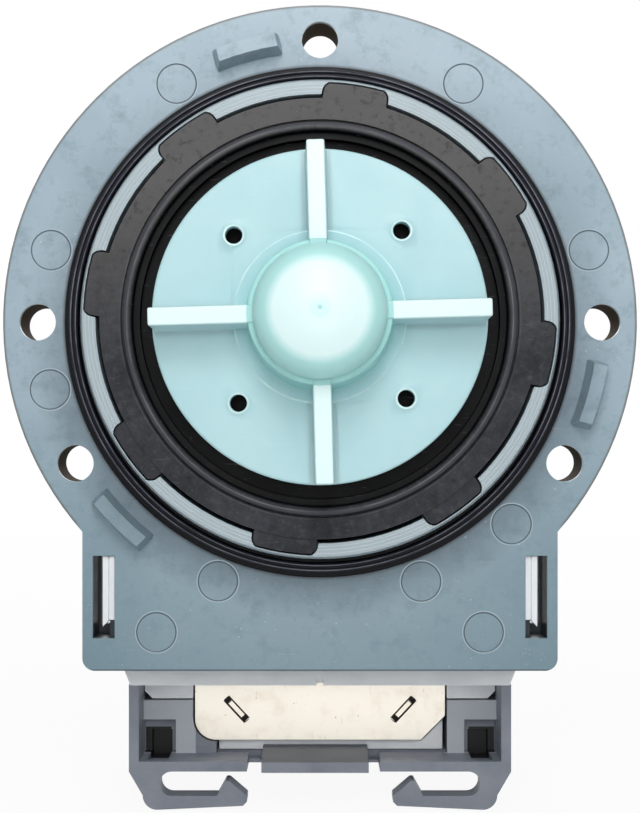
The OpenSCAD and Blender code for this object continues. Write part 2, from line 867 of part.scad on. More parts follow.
// Right-hand pole and leg; the left one is its mirror image
module pole_2d() {
    edge_x = core_w / 2;
    inner_x = edge_x - leg_w;
    difference() {
        union() {
            polygon([
                [pole_gap / 2, -pole_top],
                [inner_x, -pole_top - pole_neck],
                [edge_x, -pole_top - pole_neck],
                [edge_x, pole_top - pole_bevel],
                [edge_x - pole_bevel, pole_top],
                [pole_gap / 2, pole_top]
            ]);
            box_2d(inner_x, edge_x, yoke_top_y, -pole_top);
        }
        circle(core_bore_r);
        box_2d(leg_x - tongue_w / 2 - fit / 2, leg_x + tongue_w / 2 + fit / 2, yoke_top_y - eps,
            yoke_top_y + tongue_h + fit / 2);
    }
}

module stack() {
    slab(-stack_depth - stack_t, -stack_depth) children();
}

module left_pole_stack() {
    color(steel_color) upright() mirror([1, 0, 0]) stack() pole_2d();
}

module right_pole_stack() {
    color(steel_color) upright() stack() pole_2d();
}

module yoke_2d() {
    edge_x = core_w / 2;
    difference() {
        union() {
            box_2d(-edge_x, edge_x, yoke_bottom_y + yoke_corner_r, yoke_top_y);
            box_2d(-edge_x + yoke_corner_r, edge_x, yoke_bottom_y, yoke_top_y);
            translate([-edge_x + yoke_corner_r, yoke_bottom_y + yoke_corner_r]) circle(yoke_corner_r);
        }
        polygon([
            [edge_x - yoke_cut, yoke_bottom_y - eps],
            [edge_x + eps, yoke_bottom_y - eps],
            [edge_x + eps, yoke_bottom_y + yoke_cut],
            [edge_x, yoke_bottom_y + yoke_cut],
            [edge_x - yoke_cut, yoke_bottom_y]
        ]);
    }
    for (x = [-leg_x, leg_x]) {
        box_2d(x - tongue_w / 2, x + tongue_w / 2, yoke_top_y - eps, yoke_top_y + tongue_h);
    }
}

module at_interlocks() {
    for (side = [-1, 1]) translate([side * core_w / 3, (yoke_top_y + yoke_bottom_y) / 2 + 0.3, 0]) {
        rotate(side * 47) children();
    }
}

// The yoke, with slots where the sheets are locked together, bridged in the middle
module yoke_stack() {
    color(steel_color) upright() {
        difference() {
            stack() yoke_2d();
            at_interlocks() slab(-stack_depth - interlock_depth, -stack_depth + eps) {
                round_box_2d(interlock_len / 2, interlock_w / 2, 0.3);
            }
        }
        at_interlocks() slab(-stack_depth - interlock_depth - eps, -stack_depth - bridge_depth) {
            square([interlock_bridge_len, interlock_w - 2 * fit], center = true);
        }
    }
}

// A slab across the coil's own axis, centred on the right-hand leg
module coil_layer(y0, y1) {
    translate([leg_x, y1, stack_z]) rotate([90, 0, 0]) linear_extrude(y1 - y0) children();
}

// The clip hangs from the top cheek and reaches forward into its window, where
// its barb lies over the ledge
module bobbin_clip() {
    root_z = -stack_depth - clip_root_len;
    bend_z = -cheek_depth - 1.5;
    front_z = -0.6;
    barb_bottom_y = clip_bottom_y + 1;
    barb_back_z = -clip_ledge + fit;
    line_w = 0.15;
    slab(root_z, bend_z) {
        box_2d(bobbin_outer_x - eps, clip_x + clip_t, -bobbin_drop - cheek_t, -bobbin_drop);
        box_2d(clip_x, clip_x + clip_t, clip_bottom_y, -bobbin_drop);
    }
    slab(bend_z - eps, front_z) polygon([
        [clip_x, clip_bottom_y + clip_t],
        [clip_x + clip_t, clip_bottom_y],
        [clip_x + clip_t, clip_top_y],
        [clip_x, clip_top_y]
    ]);
    slab(barb_back_z, front_z) {
        box_2d(window_x + fit, clip_x - line_w, barb_bottom_y, clip_top_y);
    }
    slab(barb_back_z, front_z - 2 * line_w) {
        box_2d(window_x + fit, clip_x + line_w, barb_bottom_y, clip_top_y);
    }
}

// The lower cheek's front lip, and the slant at its outer end
module cheek_lip_2d() {
    polygon([
        [bobbin_gap / 2, bobbin_bottom_y],
        [bobbin_outer_x - cheek_slant, bobbin_bottom_y],
        [bobbin_outer_x, cheek_lip_y],
        [bobbin_gap / 2, cheek_lip_y]
    ]);
}

module cheek_slant_2d() {
    polygon([
        [bobbin_outer_x - cheek_slant, bobbin_bottom_y - eps],
        [bobbin_outer_x + eps, bobbin_bottom_y - eps],
        [bobbin_outer_x + eps, cheek_lip_y],
        [bobbin_outer_x, cheek_lip_y],
        [bobbin_outer_x - cheek_slant, bobbin_bottom_y]
    ]);
}

module bobbin() {
    difference() {
        union() {
            coil_layer(bobbin_bottom_y, -bobbin_drop) {
                square([2 * tube_half_w, 2 * tube_half_t], center = true);
            }
            coil_layer(bobbin_bottom_y, bobbin_bottom_y + cheek_t) {
                round_box_2d(cheek_half_w, cheek_half_t, 0.8);
            }
            coil_layer(-bobbin_drop - cheek_t, -bobbin_drop) {
                round_box_2d(cheek_half_w, cheek_half_t, 1.5);
            }
            slab(-cheek_depth - cheek_lip_t, -cheek_depth) cheek_lip_2d();
            slab(tab_root_back_z, block_z) polygon([
                [block_x, block_bottom_y],
                [block_outer_x - block_bevel, block_bottom_y],
                [block_outer_x, block_bottom_y + block_bevel],
                [block_outer_x, bobbin_bottom_y + eps],
                [block_x, bobbin_bottom_y + eps]
            ]);
            bobbin_clip();
        }
        coil_layer(bobbin_bottom_y - eps, -bobbin_drop + eps) {
            square([leg_w + 0.3, stack_t + 0.3], center = true);
        }
        slab(-cheek_depth - 2 * cheek_half_t - eps, -cheek_depth + eps) cheek_slant_2d();
        tab_cut(fit / 2);
    }
}

// Tongue of the left bobbin that closes the gap between the two front lips
module lip_tongue() {
    slab(-cheek_depth - cheek_t, -cheek_depth - loose) {
        box_2d(-bobbin_gap / 2 - eps, bobbin_gap / 2 - fit, bobbin_bottom_y + 0.6, cheek_lip_y);
    }
}

module left_bobbin() {
    color(white_color) upright() {
        mirror([1, 0, 0]) bobbin();
        lip_tongue();
    }
}

module right_bobbin() {
    color(white_color) upright() bobbin();
}

module winding() {
    coil_layer(bobbin_bottom_y + cheek_t + fit, -bobbin_drop - cheek_t - fit) difference() {
        round_box_2d(winding_half_w, winding_half_t, winding_build);
        square([2 * tube_half_w + fit, 2 * tube_half_t + fit], center = true);
    }
}

module left_winding() {
    color("#b8693a") upright() mirror([1, 0, 0]) winding();
}

module right_winding() {
    color("#b8693a") upright() winding();
}

module coil_tape() {
    coil_layer(bobbin_bottom_y + cheek_t + fit, -bobbin_drop - cheek_t - fit) difference() {
        round_box_2d(winding_half_w + tape_t, winding_half_t + tape_t, winding_build + tape_t);
        round_box_2d(winding_half_w + fit / 2, winding_half_t + fit / 2, winding_build);
    }
}

module left_coil_tape() {
    color("#d9c27a") upright() mirror([1, 0, 0]) coil_tape();
}

module right_coil_tape() {
    color("#d9c27a") upright() coil_tape();
}

// A small thermal switch laid on the back of the right-hand coil
module thermal_cutout() {
    middle_y = -bobbin_drop - bobbin_len / 2;
    middle_z = stack_z - winding_half_t - tape_t - cutout_t / 2 - fit / 2;
    color("#e9e6dc") upright() translate([leg_x, middle_y + cutout_len / 2, middle_z]) rotate([90, 0, 0]) {
        linear_extrude(cutout_len) round_box_2d(cutout_w / 2, cutout_t / 2, cutout_t / 4);
    }
}

// A terminal seen from the side: its blade, and the tang held in the bobbin's block.
// Here x is height and y runs along the axis.
module tab_side_2d(grow) {
    half_w = tab_w / 2 + grow;
    box_2d(tab_mid_y - half_w, tab_mid_y + half_w, tab_back_z - grow, tab_front_z + grow);
    box_2d(tab_mid_y, block_bottom_y + tang_rise + grow, tang_back_z - grow, tang_back_z + tang_len + grow);
}

module tab_cut(grow) {
    translate([tab_x - tab_t / 2 - grow, 0, 0]) rotate([90, 0, 90]) {
        linear_extrude(tab_t + 2 * grow) tab_side_2d(grow);
    }
}

module terminal() {
    tab_cut(0);
}

module left_terminal() {
    color("#d8d4c8") upright() mirror([1, 0, 0]) terminal();
}

module right_terminal() {
    color("#d8d4c8") upright() terminal();
}

module terminal_housing() {
    color(housing_color) upright() difference() {
        union() {
            for (side = [0, 1]) mirror([side, 0, 0]) housing_side();
            slab(housing_back_z, floor_step_z) {
                box_2d(-housing_x, housing_x, floor_bottom_y, floor_top_y);
            }
            slab(floor_step_z - eps, ledge_back_z) {
                box_2d(-housing_x, housing_x, floor_bottom_y, floor_top_y - floor_groove);
            }
            slab(ledge_back_z - eps, -housing_depth) {
                box_2d(-housing_x, ledge_ends[0], floor_bottom_y, floor_top_y);
                box_2d(ledge_ends[3], housing_x, floor_bottom_y, floor_top_y);
            }
            latch();
            yoke_corner_filler();
        }
        for (side = [0, 1]) mirror([side, 0, 0]) block_cuts();
    }
}

// A side wall, the block that holds the terminal, and the hook
module housing_side() {
    slab(housing_back_z, -housing_depth) {
        box_2d(housing_x - housing_wall, housing_x, floor_bottom_y, housing_top_y);
    }
    slab(housing_back_z, ledge_back_z) {
        box_2d(block_x, housing_x, floor_bottom_y, block_bottom_y - loose);
    }
    slab(-housing_depth - hook_t, -housing_depth) hook_2d();
}

// What is cut from a block: its front pocket and square hole, the bay round the
// terminal's blade at the back, and the slot that the tang drops into
module block_cuts() {
    inner_x = housing_x - housing_wall;
    hole_x = inner_x - hole_side;
    block_top_y = block_bottom_y - loose;
    slab(ledge_back_z - pocket_depth, ledge_back_z + eps) {
        box_2d(inner_x - pocket_w, inner_x, floor_top_y, floor_top_y + pocket_h);
    }
    slab(hole_back_z, -housing_depth - sill_t) {
        box_2d(hole_x - hole_w, hole_x, floor_top_y - floor_groove, floor_top_y + hole_h);
    }
    slab(housing_back_z - eps, bay_front_z) {
        box_2d(block_x + bay_wall, inner_x, floor_top_y + fit, block_top_y - bay_wall + loose);
    }
    tab_cut(fit);
    slab(tang_back_z - 1, tang_back_z + tang_len + 1) {
        box_2d(tab_x - tab_t / 2 - fit, tab_x + tab_t / 2 + fit, tab_mid_y, block_top_y + eps);
    }
}

// The middle ledge, whose top slopes up to a nose under the yoke
module latch() {
    nose_z = -stack_depth - 0.7;
    bottom_y = floor_bottom_y - latch_drop;
    translate([ledge_ends[1], 0, 0]) rotate([90, 0, 90]) {
        linear_extrude(ledge_ends[2] - ledge_ends[1]) polygon([
            [bottom_y, -housing_depth],
            [floor_top_y - latch_drop, -housing_depth],
            [floor_top_y + latch_rise, ledge_back_z],
            [floor_top_y + latch_rise, nose_z],
            [floor_bottom_y, nose_z],
            [bottom_y, ledge_back_z]
        ]);
    }
}

// Fills the corner under the yoke's round corner, behind the left-hand ledge
module yoke_corner_filler() {
    corner_x = -core_w / 2 + yoke_corner_r;
    corner_y = yoke_bottom_y + yoke_corner_r;
    filler_len = 7;
    slab(ledge_back_z - filler_len, ledge_back_z) difference() {
        box_2d(-block_x - eps, corner_x + 0.1, floor_bottom_y, corner_y);
        translate([corner_x, corner_y]) circle(yoke_corner_r + loose);
        box_2d(corner_x, corner_x + 1, yoke_bottom_y - loose, corner_y + eps);
    }
}

// A wire hook: a shank that narrows downwards, a rounded corner, and an arm that
// rises a little towards its barb
module hook_2d() {
    arm_top_y = floor_bottom_y - hook_slot_h;
    shank_taper = 2.1;
    corner_r = 2.2;
    corner_x = housing_x - shank_taper - corner_r;
    corner_y = hook_bottom_y + corner_r;
    slot_r = hook_slot_h / 2;
    slot_x = corner_x - corner_r;
    tip_x = housing_x - hook_reach;
    tip_rise = 0.6;
    tip_y = hook_bottom_y + tip_rise;
    barb_h = 2.3;
    barb_w = 4.5;
    peak_x = tip_x + 0.6 * barb_w;
    peak_w = 0.5;
    barb_x = tip_x + barb_w;
    barb_bottom_y = hook_bottom_y + 0.65 * tip_rise;
    difference() {
        union() {
            polygon([
                [housing_x, floor_bottom_y + eps],
                [housing_x, floor_bottom_y],
                [corner_x + corner_r, corner_y],
                [corner_x, hook_bottom_y],
                [barb_x, barb_bottom_y],
                [barb_x, floor_bottom_y + eps]
            ]);
            translate([corner_x, corner_y]) circle(corner_r);
        }
        translate([slot_x, arm_top_y + slot_r]) circle(slot_r);
        box_2d(barb_x - eps, slot_x, arm_top_y, floor_bottom_y);
    }
    polygon([
        [barb_x + eps, arm_top_y],
        [barb_x, arm_top_y],
        [peak_x + peak_w, arm_top_y + barb_h],
        [peak_x, arm_top_y + barb_h],
        [tip_x, arm_top_y],
        [tip_x, tip_y + tip_rise],
        [tip_x + tip_rise, tip_y],
        [barb_x, barb_bottom_y],
        [barb_x + eps, barb_bottom_y]
    ]);
}

// A strip under the yoke, with its right-hand end turned up into the cut corner
module yoke_insulator() {
    edge_x = core_w / 2;
    left_x = -edge_x + yoke_corner_r + 0.4;
    right_x = edge_x - 0.3;
    cut_x = edge_x - yoke_cut + 0.3;
    top_y = yoke_bottom_y - fit;
    color(white_color) upright() slab(-stack_depth - stack_t + 1, -stack_depth - 1) {
        box_2d(left_x, right_x, floor_top_y + fit, top_y);
        polygon([
            [cut_x, top_y - eps],
            [right_x, top_y - eps],
            [right_x, top_y + right_x - cut_x],
            [cut_x, top_y]
        ]);
    }
}

pump_body();
flange_seal();
bearing_plate();
plate_seal();
front_bearing();
front_bearing_mount();
rear_bearing();
rear_bearing_mount();
rotor_shaft();
rotor_magnet();
rotor_core();
front_thrust_washer();
rear_thrust_washer();
drive_dog();
impeller();
clutch_damper();
hub_cover();
hub_seal();
left_pole_stack();
right_pole_stack();
yoke_stack();
left_bobbin();
right_bobbin();
left_winding();
right_winding();
left_coil_tape();
right_coil_tape();
thermal_cutout();
terminal_housing();
left_terminal();
right_terminal();
yoke_insulator();
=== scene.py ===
"""Washer drain pump: detailed surfaces, finishes, studio light and camera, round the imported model."""

import json
import math
from types import SimpleNamespace

import bmesh
import bpy
import numpy as np
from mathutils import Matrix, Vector


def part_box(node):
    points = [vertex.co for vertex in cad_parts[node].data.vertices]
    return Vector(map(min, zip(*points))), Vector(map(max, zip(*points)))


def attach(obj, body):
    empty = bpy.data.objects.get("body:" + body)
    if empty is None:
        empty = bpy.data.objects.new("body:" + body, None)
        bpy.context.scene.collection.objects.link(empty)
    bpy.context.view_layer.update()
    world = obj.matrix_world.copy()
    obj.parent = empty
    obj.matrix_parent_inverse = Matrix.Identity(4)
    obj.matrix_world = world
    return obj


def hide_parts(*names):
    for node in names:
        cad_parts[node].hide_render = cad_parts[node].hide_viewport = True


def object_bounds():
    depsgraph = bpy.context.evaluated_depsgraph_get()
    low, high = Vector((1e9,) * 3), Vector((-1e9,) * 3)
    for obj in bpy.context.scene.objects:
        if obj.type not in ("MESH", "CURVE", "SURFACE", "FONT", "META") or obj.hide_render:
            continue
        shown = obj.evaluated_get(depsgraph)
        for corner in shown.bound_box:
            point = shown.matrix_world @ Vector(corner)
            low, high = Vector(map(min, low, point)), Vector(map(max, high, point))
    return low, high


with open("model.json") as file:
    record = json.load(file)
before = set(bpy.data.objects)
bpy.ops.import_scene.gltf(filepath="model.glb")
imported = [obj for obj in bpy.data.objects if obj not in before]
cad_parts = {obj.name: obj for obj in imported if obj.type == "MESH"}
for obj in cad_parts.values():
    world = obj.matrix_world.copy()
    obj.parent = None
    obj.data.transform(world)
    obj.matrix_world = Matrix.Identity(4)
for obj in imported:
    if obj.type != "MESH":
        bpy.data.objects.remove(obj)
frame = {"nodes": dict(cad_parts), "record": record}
CAD_BOX = [list(corner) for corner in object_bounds()]
NODES = frame["nodes"]
BODIES = frame["record"]["behaviour"]["bodies"]
BODY_OF = {node: body for body, nodes in BODIES.items() for node in nodes}
MM = 0.001


# Shapes worked out with numpy, in millimetres: x right, y up, z towards the impeller from the flange face

def upright(points):
    """Pump coordinates in millimetres, turned to the frame's axes and metres: (x, y, z) goes to (x, -z,
    y)."""
    x, y, z = np.moveaxis(np.asarray(points, float), -1, 0)
    return np.stack([x, -z, y], axis=-1) * MM


def turned(points, degrees):
    """The points turned about the rotor axis."""
    a = math.radians(degrees)
    spin = np.array([[math.cos(a), math.sin(a), 0], [-math.sin(a), math.cos(a), 0], [0, 0, 1]])
    return points @ spin


def rounded(corners, radii, steps=6, closed=False):
    """An outline whose corners are arcs that touch both sides. With the corner's half angle h, an arc of
    radius r starts r / tan h from the corner, and its centre is r / sin h along the bisector."""
    corners = np.asarray(corners, float)
    if closed:
        before, here, after = np.roll(corners, 1, axis=0), corners, np.roll(corners, -1, axis=0)
    else:
        before, here, after = corners[:-2], corners[1:-1], corners[2:]
    into = before - here
    away = after - here
    into /= np.linalg.norm(into, axis=1, keepdims=True)
    away /= np.linalg.norm(away, axis=1, keepdims=True)
    half = np.arccos(np.clip((into * away).sum(1), -1, 1))[:, None] / 2
    radius = np.broadcast_to(np.asarray(radii, float), len(here))[:, None]
    bisector = into + away
    bisector /= np.linalg.norm(bisector, axis=1, keepdims=True)
    centre = here + bisector * radius / np.sin(half)
    start = (here + into * radius / np.tan(half) - centre)[:, None, :]
    stop = (here + away * radius / np.tan(half) - centre)[:, None, :]
    sweep = (math.pi - 2 * half)[:, None, :]
    share = np.linspace(0, 1, steps)[None, :, None]
    blend = np.sin((1 - share) * sweep) * start + np.sin(share * sweep) * stop
    arcs = centre[:, None, :] + blend / np.sin(sweep)
    arcs = arcs.reshape(-1, corners.shape[1])
    return arcs if closed else np.concatenate([corners[:1], arcs, corners[-1:]])


def revolve(profile, columns, start=0.0):
    """A profile of (radius, height) pairs carried round the rotor axis: (r cos a, r sin a, z)."""
    angle = math.radians(start) + np.linspace(0, 2 * math.pi, columns, endpoint=False)
    r, z = np.asarray(profile, float).T
    around = [np.outer(r, np.cos(angle)), np.outer(r, np.sin(angle)), np.outer(z, np.ones(columns))]
    return np.stack(around, -1)


def grid_faces(rows, columns, wrap_rows, wrap_columns):
    """The four-sided faces of a grid of points, whose last row or column may join the first."""
    i = np.arange(rows if wrap_rows else rows - 1)[:, None]
    j = np.arange(columns if wrap_columns else columns - 1)[None, :]
    i, j = np.broadcast_arrays(i, j)
    down, right = (i + 1) % rows, (j + 1) % columns
    here, below = i * columns, down * columns
    return np.stack([here + j, here + right, below + right, below + j], -1).reshape(-1, 4)


def surface(name, grids, caps=True):
    """One mesh from several grids of points, each (points, wrap_rows, wrap_columns). A grid that wraps along
    its columns alone gets its two end rings closed where caps is true."""
    points, faces, first = [], [], 0
    for grid, wrap_rows, wrap_columns in grids:
        rows, columns = grid.shape[:2]
        points.append(upright(grid).reshape(-1, 3))
        faces += (grid_faces(rows, columns, wrap_rows, wrap_columns) + first).tolist()
        if caps and wrap_columns and not wrap_rows:
            faces.append(list(range(first, first + columns)))
            faces.append(list(range(first + (rows - 1) * columns, first + rows * columns)))
        first += rows * columns
    mesh = bpy.data.meshes.new(name)
    mesh.from_pydata(np.concatenate(points), [], faces)
    build = bmesh.new()
    build.from_mesh(mesh)
    bmesh.ops.remove_doubles(build, verts=build.verts, dist=1e-7)
    bmesh.ops.dissolve_degenerate(build, edges=build.edges, dist=1e-8)
    bmesh.ops.recalc_face_normals(build, faces=build.faces)
    build.to_mesh(mesh)
    build.free()
    return mesh


def put(name, data):
    """A new object in the scene, at the origin."""
    thing = bpy.data.objects.new(name, data)
    bpy.context.scene.collection.objects.link(thing)
    return thing


def add_piece(name, mesh, node, material, sharp):
    """Puts a finished mesh in the scene in place of a CAD node, and hides the node: it rides that node's
    body."""
    mesh.materials.clear()
    mesh.materials.append(material)
    mesh.shade_smooth()
    mesh.set_sharp_from_angle(angle=math.radians(sharp))
    piece = put(name, mesh)
    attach(piece, BODY_OF[node])
    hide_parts(node)
    return piece


def merged_copy(node, name):
    """A CAD node's mesh with its loose triangles joined up and its flat faces made whole."""
    source = NODES[node].data
    points = np.empty(len(source.vertices) * 3, np.float32)
    source.vertices.foreach_get("co", points)
    corners = np.empty(len(source.loops), np.int32)
    source.loops.foreach_get("vertex_index", corners)
    mesh = bpy.data.meshes.new(name)
    mesh.from_pydata(points.reshape(-1, 3), [], corners.reshape(-1, 3).tolist())
    build = bmesh.new()
    build.from_mesh(mesh)
    bmesh.ops.remove_doubles(build, verts=build.verts, dist=2e-6)
    bmesh.ops.dissolve_degenerate(build, edges=build.edges, dist=1e-6)
    bmesh.ops.dissolve_limit(build, angle_limit=math.radians(0.8), verts=build.verts, edges=build.edges,
                             use_dissolve_boundaries=False)
    build.to_mesh(mesh)
    build.free()
    return mesh


def dressed(node, material, edge):
    """Stands in for a CAD node with the same shape and its sharp edges broken, as a mould or a tool leaves
    them."""
    name = node + "_finish"
    piece = add_piece(name, merged_copy(node, name), node, material, sharp=30)
    bevel = piece.modifiers.new("broken_edges", "BEVEL")
    bevel.width = edge * MM
    bevel.segments = 2
    bevel.limit_method = "ANGLE"
    bevel.angle_limit = math.radians(30)
    bevel.use_clamp_overlap = True
    bevel.miter_outer = "MITER_ARC"
    piece.modifiers.new("flat_faces_stay_flat", "WEIGHTED_NORMAL").keep_sharp = True


# Sizes in millimetres, from the frame's boxes where they hold them and otherwise as on the part

# Pump body
low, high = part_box("pump_body")
RIM_R = high.x / MM
TAIL_BOTTOM = low.z / MM
COLLAR_TOP_Z = -low.y / MM
ROUND_BOTTOM = -30.0
COLLAR_R, COLLAR_HALF = 33.0, 1.6
MOULD_RING_PITCH = 0.5
SCREW_R, SCREW_CIRCLE_R = 2.65, 41.0
SCREW_TURNS = (0, 90, 180, 210, 330)
PIN_R, PIN_CIRCLE_R = 2.85, 40.4
PIN_TURNS = (15, 59, 121, 165, 194, 248.5, 291.3, 313.5)
TAIL_PINS = [(-23.75, -45.0), (23.75, -45.0)]
WINDOW_X, WINDOW_HALF_X = 31.4, 1.75
WINDOW_UP, WINDOW_HALF_UP = -39.9, 6.1

# Flange seal
low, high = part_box("flange_seal")
SEAL_R = (high.x - low.x) / 2 / MM
SEAL_TOP_Z, SEAL_BASE_Z = -low.y / MM, -high.y / MM
SEAL_FOOT_Z = 0.5
SEAL_W = 2.9
RIDGE_HALF = 0.65
LIP_R = 0.3

# Bearing plate
WELL_R = 27.0
BEAD_R = 27.4
PLATE_STEP_R = 28.3

# Core and coils
YOKE_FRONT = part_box("yoke_stack")[0].y / MM
SHEET_T = 0.5
INTERLOCK_X, INTERLOCK_UP, INTERLOCK_TURN = 13.07, -59.3, 47
INTERLOCK_SLOT = (2.35, 0.62)
INTERLOCK_BRIDGE = (1.55, 0.34)
WIRE_PITCH = 0.45
TAPE_W = 9.0
TAPE_LAP = 0.70

# Impeller
low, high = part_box("impeller")
DISC_R = (high.x - low.x) / 2 / MM
TIP_Z = -low.y / MM
DISC_BACK_Z = -high.y / MM
DISC_T = 1.8
DISC_Z = DISC_BACK_Z + DISC_T
HUB_R = 10.15
SHOULDER_R = 9.75
SHOULDER_Z = DISC_Z + 7.5
DOME_R = 9.0
CROWN_R = 15.0
SIDE_R = 4.2
STEP_R = 12.0
STEP_H = 0.3
BORE_R = 8.4
CAVITY_Z = DISC_Z + 6.8
SHAFT_BORE_R = 2.03
VENT_R = 1.2
VENT_CIRCLE_R = 16.5
VENT_LIP_H = 0.07
VENT_LIP_R = VENT_R + 0.42
BLADE_R = 23.05
BLADE_TOP_Z = DISC_Z + 7.7
BLADE_TURN = 1.6
QUARTERS = [BLADE_TURN + 90 * k for k in range(4)]
SIDE_STEPS = 49
COLUMNS = 4 * (SIDE_STEPS - 1)


# Materials

def linear(hex_colour):
    """An sRGB hex colour as linear red, green, blue and alpha."""
    channels = [int(hex_colour[i:i + 2], 16) / 255 for i in (1, 3, 5)]
    return [c / 12.92 if c <= 0.04045 else ((c + 0.055) / 1.055) ** 2.4 for c in channels] + [1.0]


def add(tree, kind, inputs=(), **settings):
    """Adds one shader node. Its inputs are named, or listed in the node's own order, which on a Map Range is
    value, from low, from high, to low and to high. An input is a value, a socket to link, or a node whose
    first output is linked. Settings are the node's properties."""
    node = tree.nodes.new("ShaderNode" + kind)
    for name, value in settings.items():
        setattr(node, name, value)
    for name, value in inputs.items() if isinstance(inputs, dict) else enumerate(inputs):
        if isinstance(value, bpy.types.Node):
            value = value.outputs[0]
        if isinstance(value, bpy.types.NodeSocket):
            tree.links.new(value, node.inputs[name])
        else:
            node.inputs[name].default_value = value
    return node


def start_material(name):
    """A material with an empty node tree, and where a point of the object lies, in millimetres: its place as
    a vector, the same flat on the flange face, its distance from the rotor axis, how far across it is and to
    which side or either, its depth behind the flange face, and its height. On that vector a texture with
    Scale 1 / s has patches s millimetres wide."""
    material = bpy.data.materials.new(name)
    material.use_nodes = True
    tree = material.node_tree
    tree.nodes.clear()
    place = add(tree, "TexCoord").outputs["Object"]
    mm = add(tree, "Mapping", {"Vector": place, "Scale": (1 / MM, 1 / MM, 1 / MM)})
    across, depth, up = add(tree, "SeparateXYZ", [mm]).outputs
    flat = add(tree, "VectorMath", [mm, (1, 0, 1)], operation="MULTIPLY")
    radius = add(tree, "VectorMath", [flat], operation="LENGTH").outputs["Value"]
    side = add(tree, "Math", [across], operation="ABSOLUTE")
    return material, tree, SimpleNamespace(
        mm=mm, flat=flat, radius=radius, across=across, side=side, depth=depth, up=up)


def layered(tree, skin, layers):
    """Colours laid over one another, each (colour, share), where the share is a mask."""
    for colour, share in layers:
        skin = add(tree, "Mix", {0: share, 6: skin, 7: linear(colour)}, data_type="RGBA").outputs[2]
    return skin


def relief(tree, heights):
    """Small heights laid over one another, each (height, strength, millimetres), as one normal."""
    normal = None
    for height, strength, reach in heights:
        inputs = {"Height": height, "Strength": strength, "Distance": reach * MM}
        if normal is not None:
            inputs["Normal"] = normal
        normal = add(tree, "Bump", inputs)
    return normal


def product(tree, *masks):
    """Shows only where every mask does."""
    shown = masks[0]
    for mask in masks[1:]:
        shown = add(tree, "Math", [shown, mask], operation="MULTIPLY")
    return shown


def on_circle(radius, degrees):
    """Places on a circle about the rotor axis, each (across, up)."""
    return [(radius * math.cos(math.radians(a)), radius * math.sin(math.radians(a))) for a in degrees]


def nearest(tree, flat, places):
    """The distance in millimetres to the nearest of several places on the flange face, each (across, up)."""
    best = None
    for across, up in places:
        away = add(tree, "VectorMath", [flat, (across, 0, up)], operation="DISTANCE").outputs["Value"]
        best = away if best is None else add(tree, "Math", [best, away], operation="MINIMUM")
    return best


def marks(tree, mm, cell, size, share):
    """Specks about `size` across, one to a cell, that show only in scattered patches."""
    specks = add(tree, "TexVoronoi", {"Vector": mm, "Scale": 1 / cell, "Randomness": 1.0}, feature="F1")
    reach = size / 2 / cell
    speck = add(tree, "MapRange", [specks, reach * 0.7, reach, share, 0])
    patchy = add(tree, "TexNoise", {"Vector": mm, "Scale": 1 / (5 * cell), "Detail": 3.0, "Roughness": 0.7})
    few = add(tree, "MapRange", [patchy, 0.52, 0.6])
    return product(tree, speck, few)


def drag_lines(tree, mm, stretch, share):
    """Fine drawn-out scratches: noise with `stretch` cells to a millimetre, few along the drag and more
    across it, turned half a radian and cut to its peaks."""
    drawn = add(tree, "Mapping", {"Vector": mm, "Scale": stretch, "Rotation": (0, 0.5, 0)})
    noise = add(tree, "TexNoise", {"Vector": drawn, "Scale": 1.0, "Detail": 2.0, "Roughness": 0.8})
    return add(tree, "MapRange", [noise, 0.66, 0.74, 0, share])


def seal_soil_and_shade(tree, at, stain, face):
    """Grime against the seal, partly painted shade, which fades out unevenly over about 6 mm and lies thicker
    lower down, and a painted contact shadow as a dark line at the seal's foot. With it comes the height of a
    dried crust there."""
    uneven = add(tree, "Math", [stain, -5.0, at.radius], operation="MULTIPLY_ADD")
    outside = add(tree, "MapRange", [at.radius, SEAL_R - 0.45, SEAL_R - 0.05])
    # Grime and painted shade against the seal, more of it lower down
    grime_and_shade = add(tree, "MapRange", [uneven, SEAL_R - 2.15, SEAL_R + 4.05, 0.75, 0])
    more_low_down = add(tree, "MapRange", [at.up, 28.0, -15.0, 0.15, 1])
    # Painted contact shadow: a dark line at the seal's foot
    foot = add(tree, "MapRange", [at.radius, SEAL_R + 0.1, SEAL_R + 0.55, 0.8, 0])
    flakes = add(tree, "TexNoise", {"Vector": at.mm, "Scale": 1 / 0.9, "Detail": 5.0, "Roughness": 0.75})
    near = add(tree, "MapRange", [uneven, SEAL_R - 2.15, SEAL_R + 2.55, 1, 0])
    layers = [("#5d6d77", product(tree, grime_and_shade, outside, more_low_down)), ("#2a333b", product(tree, foot, outside))]
    return layers, product(tree, flakes, near, outside, face)


def collar_rings(tree, at):
    """The collar's bare top, with the fine rings left by the cutter that finished the mould, and their
    height."""
    on_top = add(tree, "MapRange", [at.depth, 1.1 - COLLAR_TOP_Z, 0.8 - COLLAR_TOP_Z])
    top = product(tree, on_top, add(tree, "Math", [at.radius, COLLAR_R, COLLAR_HALF], operation="COMPARE"))
    turns = add(tree, "Math", [at.radius, 2 * math.pi / MOULD_RING_PITCH], operation="MULTIPLY")
    wave = add(tree, "Math", [turns], operation="SINE")
    rings = product(tree, top, add(tree, "MapRange", [wave, 0.4, 1, 0, 0.6]))
    return [("#a3b1b7", top), ("#c6d1d5", rings)], rings


